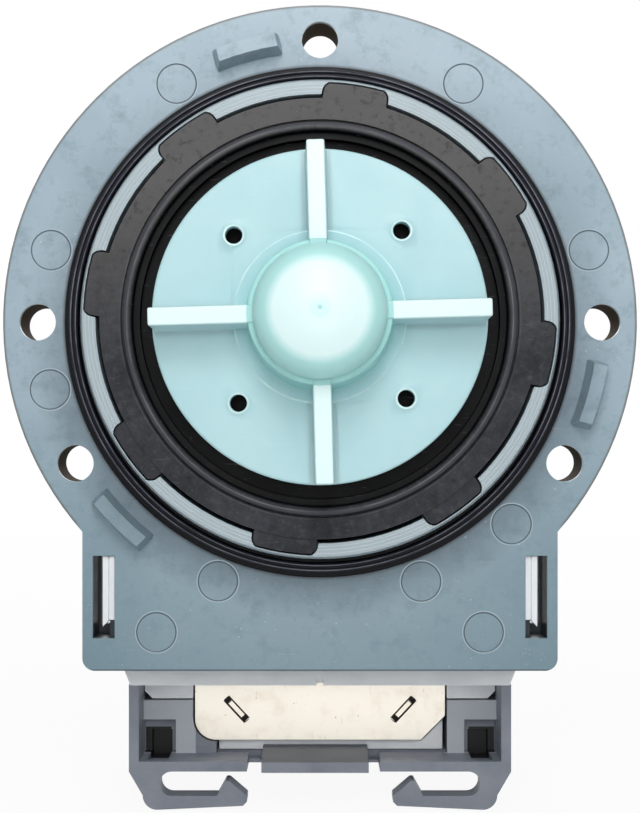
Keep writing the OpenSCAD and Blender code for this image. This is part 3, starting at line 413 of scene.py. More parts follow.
def ejector_circles(tree, at, face):
    """Round marks of the ejector pins: a dark line with a pale lip, which is a painted highlight, and the
    height of their edge.
    """
    pin = nearest(tree, at.flat, on_circle(PIN_CIRCLE_R, PIN_TURNS) + TAIL_PINS)
    line = add(tree, "Math", [pin, PIN_R, 0.09], operation="COMPARE")
    # Painted highlight: a pale line just outside each pin mark
    lip = add(tree, "Math", [pin, PIN_R + 0.18, 0.08], operation="COMPARE")
    edge = add(tree, "MapRange", [pin, PIN_R - 0.15, PIN_R + 0.09])
    layers = [("#55656f", product(tree, face, line)), ("#a6b6bf", product(tree, face, lip))]
    return layers, product(tree, edge, face)


def body_openings(tree, at):
    """Painted brown shade inside the screw holes and painted shade inside the side windows, and where the
    screw holes are.
    """
    sunk = add(tree, "MapRange", [at.depth, 0.3, 1.2])
    screw = nearest(tree, at.flat, on_circle(SCREW_CIRCLE_R, SCREW_TURNS))
    in_hole = product(tree, add(tree, "MapRange", [screw, SCREW_R + 0.1, SCREW_R + 0.2, 1, 0]), sunk)
    in_window = product(tree, add(tree, "Math", [at.side, WINDOW_X, WINDOW_HALF_X], operation="COMPARE"),
                        add(tree, "Math", [at.up, WINDOW_UP, WINDOW_HALF_UP], operation="COMPARE"), sunk)
    # Painted shade: dark brown down the screw holes, dark blue-grey in the side windows
    return [("#4a3f33", in_hole), ("#1d282f", in_window)], in_hole


def body_edges(tree, at):
    """A painted shadow, a dark line along the tail's bottom edge, and a brownish line round the flange's rim.
    """
    # Painted shadow along the tail's bottom edge
    bottom = add(tree, "MapRange", [at.up, TAIL_BOTTOM + 0.1, TAIL_BOTTOM + 0.25, 0.9, 0])
    rim = add(tree, "MapRange", [at.radius, RIM_R - 0.4, RIM_R - 0.15, 0, 0.7])
    front = add(tree, "Math", [at.depth, 0.2, 0.4], operation="COMPARE")
    on_circle_part = add(tree, "MapRange", [at.up, ROUND_BOTTOM, ROUND_BOTTOM + 1])
    return [("#20303a", bottom), ("#5a5044", product(tree, rim, on_circle_part, front))]


def moulded_polyester(name, base, light, dark, rough):
    """Glass-filled polyester, injection moulded: a dull grey-blue skin, cloudy where the melt flowed, and
    darker low down and at the lower sides from painted shade, with fibre specks, small pits, light scuffs and
    flaking scale."""
    material, tree, at = start_material(name)
    cloud = add(tree, "TexNoise", {"Vector": at.mm, "Scale": 1 / 14, "Detail": 3.0, "Roughness": 0.55})
    shade = add(tree, "MapRange", [cloud, 0.3, 0.7])
    stain = add(tree, "TexNoise", {"Vector": at.mm, "Scale": 1 / 3.5, "Detail": 6.0, "Roughness": 0.7})
    soiled = add(tree, "MapRange", [stain, 0.5, 0.75, 0, 0.6])
    # Painted shade: darker towards the bottom, and more so at the lower sides
    low_shade = add(tree, "MapRange", [at.up, -8.0, -52.0, 0, 0.62])
    side_shade = add(tree, "MapRange", [at.side, 12.0, 34.0])
    face = add(tree, "Math", [at.depth, 0.0, 0.15], operation="COMPARE")
    soil_and_shade, crust = seal_soil_and_shade(tree, at, stain, face)
    rings, ring_height = collar_rings(tree, at)
    circles, circle_height = ejector_circles(tree, at, face)
    openings, in_hole = body_openings(tree, at)
    scale = add(tree, "TexNoise", {"Vector": at.mm, "Scale": 1 / 0.9, "Detail": 4.0, "Roughness": 0.7})
    flakes = add(tree, "MapRange", [scale, 0.58, 0.68, 0, 0.7])
    flaking = add(tree, "MapRange", [stain, 0.5, 0.62])
    below = add(tree, "MapRange", [at.up, -32.0, -40.0])
    body = add(tree, "Mix", {0: shade, 6: linear(base), 7: linear(light)}, data_type="RGBA").outputs[2]
    skin = layered(tree, body, [
        (dark, low_shade),
        (dark, product(tree, low_shade, side_shade)),
        (dark, soiled),
        *soil_and_shade,
        *rings,
        # Real fibre ends are finer than 0.05 mm, and are drawn 0.3 mm across so that they show
        ("#d6e0e4", marks(tree, at.mm, 1.3, 0.28, 0.4)),
        ("#3d464c", marks(tree, at.mm, 5.0, 0.4, 0.8)),
        ("#b9c8cf", drag_lines(tree, at.mm, (0.12, 1.0, 2.2), 0.15)),
        ("#a9b9c2", product(tree, flakes, flaking, below, face)),
        *circles,
        *openings,
        *body_edges(tree, at)])
    grain = add(tree, "TexNoise", {"Vector": at.mm, "Scale": 1 / 0.5, "Detail": 4.0, "Roughness": 0.6})
    sheen = add(tree, "MapRange", [stain, 0, 1, rough - 0.1, rough + 0.12])
    heights = [(grain, 0.15, 0.06), (circle_height, 1.0, 0.14), (crust, 0.5, 0.15), (ring_height, 0.6, 0.06)]
    shader = add(tree, "BsdfPrincipled", {
        "Base Color": skin, "Roughness": add(tree, "Math", [sheen, in_hole], operation="MAXIMUM"),
        "IOR": 1.52, "Specular IOR Level": 0.35, "Normal": relief(tree, heights)})
    add(tree, "OutputMaterial", {"Surface": shader})
    return material


def moulded_polyamide(name, base, dust, rough):
    """Glass-filled polyamide, injection moulded: near black, its raised face greyed by dust and handling, and
    paler towards the top from a painted sheen, with pale specks and drag marks, lighter lines along the bead
    that are painted highlights, and a well kept near black by painted shade."""
    material, tree, at = start_material(name)
    cloud = add(tree, "TexNoise", {"Vector": at.mm, "Scale": 1 / 9, "Detail": 5.0, "Roughness": 0.6})
    dusty = add(tree, "MapRange", [cloud, 0.35, 0.7, 0.15, 0.75])
    worn = add(tree, "MapRange", [cloud, 0.4, 0.6, 0, 0.5])
    # Painted sheen: the raised face paler towards the top
    top_sheen = add(tree, "MapRange", [at.up, -6.0, 20.0, 0, 0.6])
    # Painted shade: the well near black
    well_shade = add(tree, "MapRange", [at.radius, WELL_R - 0.5, WELL_R, 1, 0])
    raised = add(tree, "MapRange", [at.radius, WELL_R - 0.5, WELL_R])
    bead = add(tree, "Math", [at.radius, BEAD_R, 0.33], operation="COMPARE")
    # Painted highlight: a patchy paler line along the bead's inner edge
    bead_edge = add(tree, "Math", [at.radius, BEAD_R - 0.2, 0.09], operation="COMPARE")
    step_edge = add(tree, "Math", [at.radius, PLATE_STEP_R, 0.08], operation="COMPARE")
    fine = add(tree, "TexNoise", {"Vector": at.mm, "Scale": 1 / 1.1, "Detail": 8.0, "Roughness": 0.75})
    mottle = add(tree, "MapRange", [fine, 0.52, 0.75, 0, 0.55])
    pitting = add(tree, "MapRange", [fine, 0.46, 0.3, 0, 0.7])
    skin = layered(tree, linear(base), [
        (dust, dusty),
        ("#6b6967", product(tree, top_sheen, raised)),
        ("#030406", well_shade),
        ("#5c5957", product(tree, mottle, raised)),
        ("#141419", product(tree, pitting, raised)),
        ("#47494f", bead),
        ("#84807c", product(tree, bead_edge, worn)),
        ("#565656", product(tree, step_edge, worn)),
        ("#77787c", marks(tree, at.mm, 1.1, 0.2, 0.5)),
        ("#5e6066", drag_lines(tree, at.mm, (0.25, 1.0, 2.6), 0.45))])
    grain = add(tree, "TexNoise", {"Vector": at.mm, "Scale": 1 / 0.35, "Detail": 3.0})
    shader = add(tree, "BsdfPrincipled", {
        "Base Color": skin, "Roughness": add(tree, "MapRange", [cloud, 0, 1, rough - 0.12, rough + 0.15]),
        "IOR": 1.53, "Specular IOR Level": 0.12, "Normal": relief(tree, [(grain, 0.2, 0.05)])})
    add(tree, "OutputMaterial", {"Surface": shader})
    return material


def ridge_layers(tree, at, cloud):
    """A seal's ridge, paler all over from bloom and from painted light on its top, with a painted highlight,
    patchy, along each of its two lips.
    """
    away = add(tree, "Math", [at.radius, SEAL_R - SEAL_W / 2], operation="SUBTRACT")
    away = add(tree, "Math", [away], operation="ABSOLUTE")
    # Bloom and painted light on the ridge's top
    on_ridge = add(tree, "MapRange", [away, RIDGE_HALF - 0.1, RIDGE_HALF + 0.05, 0.8, 0])
    # Painted highlight along each lip, made patchy by the cloud
    on_lip = add(tree, "Math", [away, RIDGE_HALF - LIP_R, 0.07], operation="COMPARE")
    uneven_highlight = add(tree, "MapRange", [cloud, 0.35, 0.6, 0.2, 0.9])
    return [("#24252e", on_ridge), ("#7a7c84", product(tree, on_lip, uneven_highlight))]


def moulded_rubber(name, base, bloom, rough=0.38, ridge=False):
    """EPDM rubber, compression moulded: black with a soft sheen, dulled in patches where bloom has come
    out."""
    material, tree, at = start_material(name)
    cloud = add(tree, "TexNoise", {"Vector": at.mm, "Scale": 1 / 5, "Detail": 4.0, "Roughness": 0.6})
    layers = [(bloom, add(tree, "MapRange", [cloud, 0.45, 0.8, 0, 0.5]))]
    if ridge:
        layers += ridge_layers(tree, at, cloud)
    layers.append(("#6c7078", marks(tree, at.mm, 1.5, 0.2, 0.5)))
    grain = add(tree, "TexNoise", {"Vector": at.mm, "Scale": 1 / 0.4, "Detail": 2.0})
    shader = add(tree, "BsdfPrincipled", {
        "Base Color": layered(tree, linear(base), layers),
        "Roughness": add(tree, "MapRange", [cloud, 0, 1, rough - 0.1, rough + 0.15]),
        "IOR": 1.5, "Specular IOR Level": 0.15, "Normal": relief(tree, [(grain, 0.1, 0.03)])})
    add(tree, "OutputMaterial", {"Surface": shader})
    return material


def hub_layers(tree, at, height, highlight):
    """The hub's tints: painted shade deeper down its side and round its foot, a painted highlight palest on
    the blade tops and the crown, and a faint gate mark."""
    edge = add(tree, "MapRange", [height, DISC_Z, SHOULDER_Z, HUB_R + 0.25, SHOULDER_R + 0.1])
    on_hub = add(tree, "Math", [at.radius, edge], operation="LESS_THAN")
    beyond = add(tree, "Math", [at.radius, edge], operation="GREATER_THAN")
    # Painted highlight on the blade tops
    blade_top = add(tree, "MapRange", [height, BLADE_TOP_Z - 1.0, BLADE_TOP_Z - 0.2])
    # Painted shade: round the hub's foot, and low down its side
    foot = add(tree, "MapRange", [at.radius, HUB_R, STEP_R + 1.5, 0.65, 0])
    low_down = add(tree, "MapRange", [height, BLADE_TOP_Z - 1.0, DISC_Z + 1.0])
    hub_side_shade = add(tree, "MapRange", [height, BLADE_TOP_Z + 2.5, SHOULDER_Z - 2.0, 0, 0.6])
    # Painted highlight on the crown
    crown = add(tree, "MapRange", [at.radius, 6.1, 7.3, 1, 0])
    gate_halo = add(tree, "MapRange", [at.radius, 0.3, 2.1, 0.5, 0])
    gate_mark = add(tree, "MapRange", [at.radius, 0.1, 0.42, 0.8, 0])
    return [("#8ec6ca", product(tree, foot, low_down)),
            ("#b2e4e1", on_hub),
            ("#8ccac8", product(tree, on_hub, hub_side_shade)),
            (highlight, product(tree, blade_top, beyond)),
            (highlight, crown),
            ("#b9ebe9", product(tree, gate_halo, crown)),
            ("#8fcfcd", product(tree, gate_mark, crown))]


def moulded_acetal(name, base, deep, highlight, rough):
    """Acetal, injection moulded: a pale mint, slightly waxy plastic that light enters, with a painted
    highlight that makes it palest on the blade tops and the crown. Small lips round the vents and the low
    step's edge carry painted highlights, and there are soft flow marks and light scuffs."""
    material, tree, at = start_material(name)
    height = add(tree, "Math", [at.depth, -1.0], operation="MULTIPLY")
    flow = add(tree, "TexNoise", {"Vector": at.mm, "Scale": 1 / 8, "Detail": 2.0, "Distortion": 0.6})
    shade = add(tree, "MapRange", [flow, 0.35, 0.7, 0, 0.6])
    patchy = add(tree, "MapRange", [flow, 0.4, 0.6, 0.3, 0.9])
    vent = nearest(tree, at.flat, on_circle(VENT_CIRCLE_R, [turn + 45 for turn in QUARTERS]))
    # Painted highlights: pale rings on the vents' lips and along the low step's edge
    vent_lip = add(tree, "Math", [vent, VENT_R + 0.16, 0.12], operation="COMPARE")
    step_line = add(tree, "Math", [at.radius, STEP_R, 0.11], operation="COMPARE")
    at_disc = add(tree, "Math", [height, DISC_Z + 0.15, 0.25], operation="COMPARE")
    body = add(tree, "Mix", {0: shade, 6: linear(base), 7: linear(deep)}, data_type="RGBA").outputs[2]
    skin = layered(tree, body, [
        *hub_layers(tree, at, height, highlight),
        ("#e2f6f5", product(tree, vent_lip, at_disc, patchy)),
        ("#dff6f5", product(tree, step_line, at_disc, patchy)),
        ("#7fb3b4", marks(tree, at.mm, 6.0, 0.25, 0.5)),
        ("#d4f0ef", drag_lines(tree, at.mm, (0.15, 1.0, 1.8), 0.12))])
    grain = add(tree, "TexNoise", {"Vector": at.mm, "Scale": 1 / 0.8, "Detail": 3.0})
    shader = add(tree, "BsdfPrincipled", {
        "Base Color": skin, "Roughness": add(tree, "MapRange", [grain, 0, 1, rough - 0.05, rough + 0.08]),
        "IOR": 1.48, "Subsurface Weight": 0.25, "Subsurface Radius": (0.8, 1.0, 1.0),
        "Subsurface Scale": 0.8 * MM, "Normal": relief(tree, [(grain, 0.06, 0.04)])})
    add(tree, "OutputMaterial", {"Surface": shader})
    return material


def interlocks(tree, mm):
    """The punched interlocks, one on either side: a turned slot, dark inside, crossed along its middle by a
    bright bridge."""
    cos, sin = math.cos(math.radians(INTERLOCK_TURN)), math.sin(math.radians(INTERLOCK_TURN))
    slots = []
    for side in (-1, 1):
        away = add(tree, "VectorMath", [mm, (side * INTERLOCK_X, 0, INTERLOCK_UP)], operation="SUBTRACT")
        along, beside = [add(tree, "VectorMath", [away, way], operation="DOT_PRODUCT").outputs["Value"]
                         for way in ((cos, 0, side * sin), (-side * sin, 0, cos))]
        slot, bridge = [
            product(tree, add(tree, "Math", [along, 0, long], operation="COMPARE"),
                    add(tree, "Math", [beside, 0, wide], operation="COMPARE"))
            for long, wide in (INTERLOCK_SLOT, INTERLOCK_BRIDGE)]
        slots.append(add(tree, "Math", [slot, bridge], operation="SUBTRACT"))
    return slots


def punched_steel(name, base, stain):
    """Silicon steel sheets, punched and stacked: a cream insulating skin with faint stains, rust-brown
    specks and fine scratches on the face, dark slots at the interlocks, a thin line round the edge, and a
    line for each sheet down the sides."""
    material, tree, at = start_material(name)
    cloud = add(tree, "TexNoise", {"Vector": at.mm, "Scale": 1 / 4, "Detail": 6.0, "Roughness": 0.65})
    soiled = add(tree, "MapRange", [cloud, 0.5, 0.8, 0, 0.7])
    stack = add(tree, "Math", [at.depth, 2 * math.pi / SHEET_T], operation="MULTIPLY")
    wave = add(tree, "Math", [stack], operation="SINE")
    facing = add(tree, "SeparateXYZ", [add(tree, "NewGeometry").outputs["Normal"]]).outputs["Y"]
    flatness = add(tree, "Math", [facing], operation="ABSOLUTE")
    seam = product(tree, add(tree, "MapRange", [wave, 0.55, 0.95, 0, 0.75]),
                   add(tree, "MapRange", [flatness, 0.3, 0.7, 1, 0]))
    edge_line = add(tree, "MapRange", [flatness, 0.35, 0.9, 0.7, 0])
    near_front = add(tree, "MapRange", [at.depth, YOKE_FRONT + 2.0, YOKE_FRONT + 2.5, 1, 0])
    skin = layered(tree, linear(base), [
        (stain, soiled),
        ("#7d6b58", marks(tree, at.mm, 1.3, 0.24, 0.85)),
        ("#5f4f3f", marks(tree, at.mm, 3.1, 0.34, 0.9)),
        ("#a2947f", drag_lines(tree, at.mm, (2.0, 1.0, 0.3), 0.6)),
        ("#4c4640", seam),
        *[("#1d1714", product(tree, slot, near_front)) for slot in interlocks(tree, at.mm)],
        ("#3a322a", product(tree, edge_line, near_front))])
    sunk_seams = add(tree, "Bump", {
        "Height": seam, "Strength": 0.5, "Distance": 0.05 * MM, "Filter Width": 0.1}, invert=True)
    shader = add(tree, "BsdfPrincipled", {
        "Base Color": skin, "Metallic": 0.8, "Roughness": add(tree, "MapRange", [cloud, 0, 1, 0.3, 0.48]),
        "Normal": sunk_seams})
    add(tree, "OutputMaterial", {"Surface": shader})
    return material


def plain_plastic(name, base, shade, rough=0.45, patches=()):
    """A smooth skin of one colour, a little uneven, with a faint grain and light scuffs. A patch, (colour,
    (x, half), (depth, half), (height, half)) on either side of the middle, has a colour of its own that
    paints light or shade there."""
    material, tree, at = start_material(name)
    cloud = add(tree, "TexNoise", {"Vector": at.mm, "Scale": 1 / 7, "Detail": 5.0, "Roughness": 0.6})
    layers = [(shade, add(tree, "MapRange", [cloud, 0.35, 0.75])), (shade, marks(tree, at.mm, 1.8, 0.3, 0.8)),
              ("#e6e8ea", drag_lines(tree, at.mm, (0.2, 1.0, 2.0), 0.15))]
    for colour, *place in patches:
        masks = [add(tree, "Math", [value, middle, half], operation="COMPARE")
                 for value, (middle, half) in zip((at.side, at.depth, at.up), place)]
        layers.append((colour, product(tree, *masks)))
    grain = add(tree, "TexNoise", {"Vector": at.mm, "Scale": 1 / 0.5, "Detail": 3.0})
    shader = add(tree, "BsdfPrincipled", {
        "Base Color": layered(tree, linear(base), layers),
        "Roughness": add(tree, "MapRange", [cloud, 0, 1, rough - 0.08, rough + 0.1]),
        "Specular IOR Level": 0.4, "Normal": relief(tree, [(grain, 0.12, 0.05)])})
    add(tree, "OutputMaterial", {"Surface": shader})
    return material


def bright_metal(name, base, rough):
    """Ground or tinned metal: bright, with fine uneven patches in its polish."""
    material, tree, at = start_material(name)
    cloud = add(tree, "TexNoise", {"Vector": at.mm, "Scale": 1 / 2.5, "Detail": 5.0})
    shader = add(tree, "BsdfPrincipled", {
        "Base Color": linear(base), "Metallic": 1.0,
        "Roughness": add(tree, "MapRange", [cloud, 0, 1, rough - 0.1, rough + 0.15])})
    add(tree, "OutputMaterial", {"Surface": shader})
    return material


def wrap_layers(tree, at, patch):
    """A film wrapped round, darker where two turns of it overlap, with a pale edge line; and the overlap
    alone."""
    climb = add(tree, "Math", [at.across, 0.03, at.up], operation="MULTIPLY_ADD")
    turns = add(tree, "Math", [climb, 1 / TAPE_W], operation="MULTIPLY")
    share = add(tree, "Math", [turns], operation="FRACT")
    lap = add(tree, "MapRange", [share, TAPE_LAP, TAPE_LAP + 0.01, 0, 0.35])
    edge = add(tree, "Math", [share, TAPE_LAP, 0.012], operation="COMPARE")
    return [("#7f5f26", lap), ("#efe0b4", product(tree, edge, patch))], lap


def wound_coil(name, base, under, rough=0.3, metallic=0.0, wrapped=False):
    """A coil's outside, wound about the upright axis: the wire's turns lie a pitch apart, up and down the
    coil, bare or under a tight amber film that shows them, with painted shade in the grooves between them."""
    material, tree, at = start_material(name)
    uneven = add(tree, "TexNoise", {"Vector": at.mm, "Scale": 1 / 6, "Detail": 3.0})
    wander = add(tree, "Math", [uneven, 0.5, at.up], operation="MULTIPLY_ADD")
    turn = add(tree, "Math", [wander, 2 * math.pi / WIRE_PITCH], operation="MULTIPLY")
    height = add(tree, "Math", [turn], operation="SINE")
    patch = add(tree, "MapRange", [uneven, 0.4, 0.65, 0, 0.5])
    # The second layer is painted shade, darker in the grooves between turns
    layers = [(under, patch), (under, add(tree, "MapRange", [height, -1, -0.3, 0.5, 0]))]
    if wrapped:
        film, lap = wrap_layers(tree, at, patch)
        layers += film
        height = add(tree, "Math", [lap, 2.0, height], operation="MULTIPLY_ADD")
    creases = add(tree, "TexNoise", {"Vector": at.mm, "Scale": 1 / 2.5, "Detail": 4.0, "Distortion": 1.0})
    shader = add(tree, "BsdfPrincipled", {
        "Base Color": layered(tree, linear(base), layers), "Metallic": metallic,
        "Roughness": add(tree, "MapRange", [creases, 0, 1, rough - 0.1, rough + 0.15]),
        "Normal": relief(tree, [(height, 0.5, 0.05), (creases, 0.3, 0.3)])})
    add(tree, "OutputMaterial", {"Surface": shader})
    return material


# Painted light and shade on the housing: a paler patch on its inner ledge, and painted shade in its dark
# pocket and on the top of its tongue
LEDGE = ("#b6bbc2", (23.6, 4.2), (15.2, 0.5), (-61.6, 4.4))
POCKET = ("#0a0a0e", (25.4, 2.0), (18.1, 2.7), (-64.6, 2.4))
TONGUE = ("#565d66", (0.0, 9.3), (12.6, 3.3), (-65.6, 1.4))

# The dark grey-blue serves both the stains and the painted shade low down
POLYESTER = moulded_polyester("moulded_glass_polyester", "#99adb9", "#a8bbc6", "#6b858f", rough=0.34)
PLATE_POLYAMIDE = moulded_polyamide("moulded_black_polyamide", "#212226", "#404248", rough=0.5)
# The palest mint is the painted highlight on the blade tops and the crown
MINT = moulded_acetal("moulded_mint_acetal", "#b9dce0", "#add4d9", "#e3fbfa", rough=0.36)
RUBBER = moulded_rubber("moulded_epdm_rubber", "#0a0b10", "#1c1d24")
SEAL_RUBBER = moulded_rubber("moulded_seal_epdm_rubber", "#0a0b10", "#1c1d24", ridge=True)
MOUNT_RUBBER = moulded_rubber("moulded_soft_epdm_rubber", "#17171a", "#2a2a2c", rough=0.6)
CORE_STEEL = punched_steel("punched_silicon_steel", "#f1ebdf", "#dacdb7")
# Darker grey polyester with a dull skin, and white polyamide with a cool cast, both as they leave the mould
HOUSING = plain_plastic("moulded_grey_polyester", "#878c96", "#757b86", patches=[LEDGE, POCKET, TONGUE])
BOBBIN = plain_plastic("moulded_white_polyamide", "#f3f6f8", "#e4e8ec")
# Film and wire: the wire is about 0.2 mm thick, and its turns are drawn 0.45 mm apart so that they show
TAPE = wound_coil("wrapped_polyester_film", "#d9b562", "#bd8a45", rough=0.25, wrapped=True)
COPPER = wound_coil("wound_enamelled_copper", "#b9642f", "#6e3517", metallic=0.9)
# Tabs with a soft grey shine, and a shaft with a sharper one
TINNED = bright_metal("stamped_tinned_brass", "#d9d4c6", rough=0.32)
STEEL = bright_metal("ground_steel", "#c9ccd0", rough=0.25)
# Hidden pieces: slightly shiny carbon, dull ferrite, smooth white ceramic, and plastics in their own tints
CARBON = plain_plastic("pressed_carbon", "#3c3d40", "#4c4d50", rough=0.34)
FERRITE = plain_plastic("sintered_ferrite", "#2f2f31", "#3c3b3c", rough=0.55)
CERAMIC = plain_plastic("ground_ceramic", "#eeece4", "#e2dfd5", rough=0.3)
CORE_PLASTIC = plain_plastic("moulded_cream_polyester", "#e0ddd2", "#d3cfc2")
DOG_PLASTIC = plain_plastic("moulded_tan_acetal", "#d4c6a0", "#c8b98f")
COVER = plain_plastic("moulded_pale_acetal", "#c4d4d8", "#b6c6ca")
CUTOUT_CASE = plain_plastic("moulded_ivory_polyester", "#e4e0d4", "#d5d0c2")


def hub_profile(edge_r):
    """Radius and height from the tip outward. The crown is an arc of radius C about the axis, and the side
    an arc of radius S that touches it where sin t = (D - S) / (C - S), for a dome of radius D. A gate mark
    dips the tip by a narrow bell, inside a shallow ring. A shoulder, the hub's tapered side and a low step
    follow, with small rounds."""
    touch = math.asin((DOME_R - SIDE_R) / (CROWN_R - SIDE_R))
    crown = np.concatenate([[0], np.geomspace(0.01, touch, 40)])
    side = np.linspace(touch, math.pi / 2, 24)[1:]
    side_z = TIP_Z - CROWN_R + (CROWN_R - SIDE_R) * math.cos(touch)
    r = np.concatenate([CROWN_R * np.sin(crown), DOME_R - SIDE_R + SIDE_R * np.sin(side)])
    z = np.concatenate([TIP_Z - CROWN_R * (1 - np.cos(crown)), side_z + SIDE_R * np.cos(side)])
    gate, gate_r = 0.09, 0.4
    ring, ring_r, ring_w = 0.05, 1.3, 0.3
    dip = gate * np.exp(-(r / gate_r) ** 2) + ring * np.exp(-((r - ring_r) / ring_w) ** 2)
    step_z = DISC_Z + STEP_H
    shoulder = [(DOME_R, SHOULDER_Z), (SHOULDER_R, SHOULDER_Z)]
    step = [(HUB_R, step_z), (STEP_R, step_z), (STEP_R, DISC_Z)]
    rounds = [0.15, 0.25, 0.3, 0.12, 0.05]
    foot = rounded([(DOME_R, side_z), *shoulder, *step, (edge_r, DISC_Z)], rounds)
    return np.concatenate([np.stack([r, z - dip], -1), foot[1:]])


def pierced_quarter(inner_r, outer_r, bisector):
    """A quarter of the disc with a vent. A point lies a share t of the way from the vent's edge to the
    quarter's border, in the same direction on the back, through the vent and on the front, so that it is one
    closed band."""
    a = np.radians(np.linspace(-45, 45, SIDE_STEPS))
    side = np.linspace(0, 1, 13)[1:-1, None]
    corner = np.stack([np.cos(a), np.sin(a)], -1)
    border = np.concatenate([
        outer_r * corner,
        (outer_r + (inner_r - outer_r) * side) * corner[-1],
        inner_r * corner[::-1],
        (inner_r + (outer_r - inner_r) * side) * corner[0]])
    offset = border - (VENT_CIRCLE_R, 0)
    way = offset / np.linalg.norm(offset, axis=1, keepdims=True)
    lip_z = DISC_Z + VENT_LIP_H
    corners = [(VENT_R, DISC_BACK_Z + 0.3), (VENT_R, lip_z), (VENT_LIP_R - 0.1, lip_z), (VENT_LIP_R, DISC_Z)]
    lip = rounded(corners, [0.06, 0.05], steps=4)
    chamfer = 0.15
    back = [(VENT_LIP_R, DISC_BACK_Z), (VENT_R + chamfer, DISC_BACK_Z), (VENT_R, DISC_BACK_Z + chamfer)]
    wall = np.concatenate([back, lip])
    ring = np.concatenate([
        (VENT_CIRCLE_R, 0) + wall[:, None, :1] * way[None],
        np.broadcast_to(wall[:, None, 1:], (len(wall), len(way), 1))], -1)
    share = np.linspace(0, 1, 9)[1:, None, None]
    flat = (VENT_CIRCLE_R, 0) + VENT_LIP_R * way[None]
    spread = flat + share * (border[None] - flat)
    front = np.concatenate([spread, np.full(spread.shape[:2] + (1,), DISC_Z)], -1)
    rear = np.concatenate([spread[::-1], np.full(spread.shape[:2] + (1,), DISC_BACK_Z)], -1)
    return turned(np.concatenate([rear, ring, front]), bisector)


def blade(turn):
    """A blade: its rounded section, in (across, height), is carried out from the hub. Within R of the end
    the section shrinks by R - sqrt(R^2 - d^2), where d is the distance past the start of that round. Its
    skirt lies just under the disc's face, and its root inside the disc."""
    edge, foot, corner = 0.25, 0.3, 0.02
    half_top, half_base = 1.2, 1.4
    skirt_z, root_z = DISC_Z - 0.02, DISC_Z - 0.6
    end = BLADE_R - edge * (1 - np.sin(np.radians(np.linspace(0, 90, 6))))
    out = np.concatenate([[DOME_R - 0.3, STEP_R], end])
    past = np.clip(out - (BLADE_R - edge), 0, edge)
    shrink = edge - np.sqrt(np.maximum(edge ** 2 - past ** 2, 0))
    sections = []
    for r, less in zip(out, shrink):
        top, base, height = half_top - less, half_base - less, BLADE_TOP_Z - less
        skirt, root = base + foot + 0.4, base + 0.2
        outline = rounded([
            (skirt, skirt_z), (base, skirt_z), (top, height), (-top, height),
            (-base, skirt_z), (-skirt, skirt_z), (-root, root_z), (root, root_z)],
            [corner, foot, edge, edge, foot, corner, corner, corner], closed=True)
        sections.append(np.stack([np.full(len(outline), r), outline[:, 0], outline[:, 1]], -1))
    return turned(np.stack(sections), turn)


def make_impeller():
    """The hub's outside, the disc's rim and its hollow back are carried round the axis; four pierced
    quarters join them, and four blades stand on those."""
    inner_r, outer_r = STEP_R + 0.4, DISC_R - 0.8
    rim = rounded([(outer_r, DISC_Z), (DISC_R, DISC_Z), (DISC_R, DISC_BACK_Z), (outer_r, DISC_BACK_Z)],
                  [0.35, 0.3], steps=7)
    cover_r, cover_z = BORE_R + 0.8, DISC_Z - 0.8
    bore_end = TIP_Z - 2.9
    inside = [
        (inner_r, DISC_BACK_Z), (cover_r, DISC_BACK_Z), (cover_r, cover_z), (BORE_R, cover_z),
        (BORE_R, CAVITY_Z), (SHAFT_BORE_R, CAVITY_Z), (SHAFT_BORE_R, bore_end), (0, bore_end)]
    round_parts = [(revolve(profile, COLUMNS, BLADE_TURN), False, True)
                   for profile in (hub_profile(inner_r), rim, inside)]
    quarters = [(pierced_quarter(inner_r, outer_r, turn + 45), False, True) for turn in QUARTERS]
    shell = surface("impeller_shell", round_parts + quarters, caps=False)
    blades = surface("impeller_blades", [(blade(turn), False, True) for turn in QUARTERS])
    build = bmesh.new()
    build.from_mesh(shell)
    build.from_mesh(blades)
    whole = bpy.data.meshes.new("impeller_finish")
    build.to_mesh(whole)
    build.free()
    piece = add_piece("impeller_finish", whole, "impeller", MINT, sharp=40)
    piece.modifiers.new("flat_faces_stay_flat", "WEIGHTED_NORMAL").keep_sharp = True


def make_flange_seal():
    """The seal's section, carried round the collar: a flat foot, and a ridge whose two round lips are half
    circles of radius L, (r + L cos a, z + L sin a)."""
    middle_r = SEAL_R - SEAL_W / 2
    ridge_r = middle_r + RIDGE_HALF
    lip_z = SEAL_TOP_Z - LIP_R
    a = np.radians(np.linspace(0, 180, 11))
    lip_r = LIP_R * np.cos(a)
    height = lip_z + LIP_R * np.sin(a)
    outer_lip = np.stack([ridge_r - LIP_R + lip_r, height], -1)
    inner_lip = np.stack([middle_r - RIDGE_HALF + LIP_R + lip_r, height], -1)
    corners = [(SEAL_R, SEAL_BASE_Z), (SEAL_R, SEAL_FOOT_Z), (ridge_r, SEAL_FOOT_Z), (ridge_r, lip_z)]
    outer_foot = rounded(corners, [0.15, 0.1], steps=4)
    inner_foot = outer_foot[::-1] * (-1, 1) + (2 * middle_r, 0)
    profile = np.concatenate([outer_foot[:-1], outer_lip, inner_lip, inner_foot[1:]])
    add_piece("flange_seal_finish", surface("flange_seal_finish", [(revolve(profile, 256), True, True)]),
              "flange_seal", SEAL_RUBBER, sharp=50)


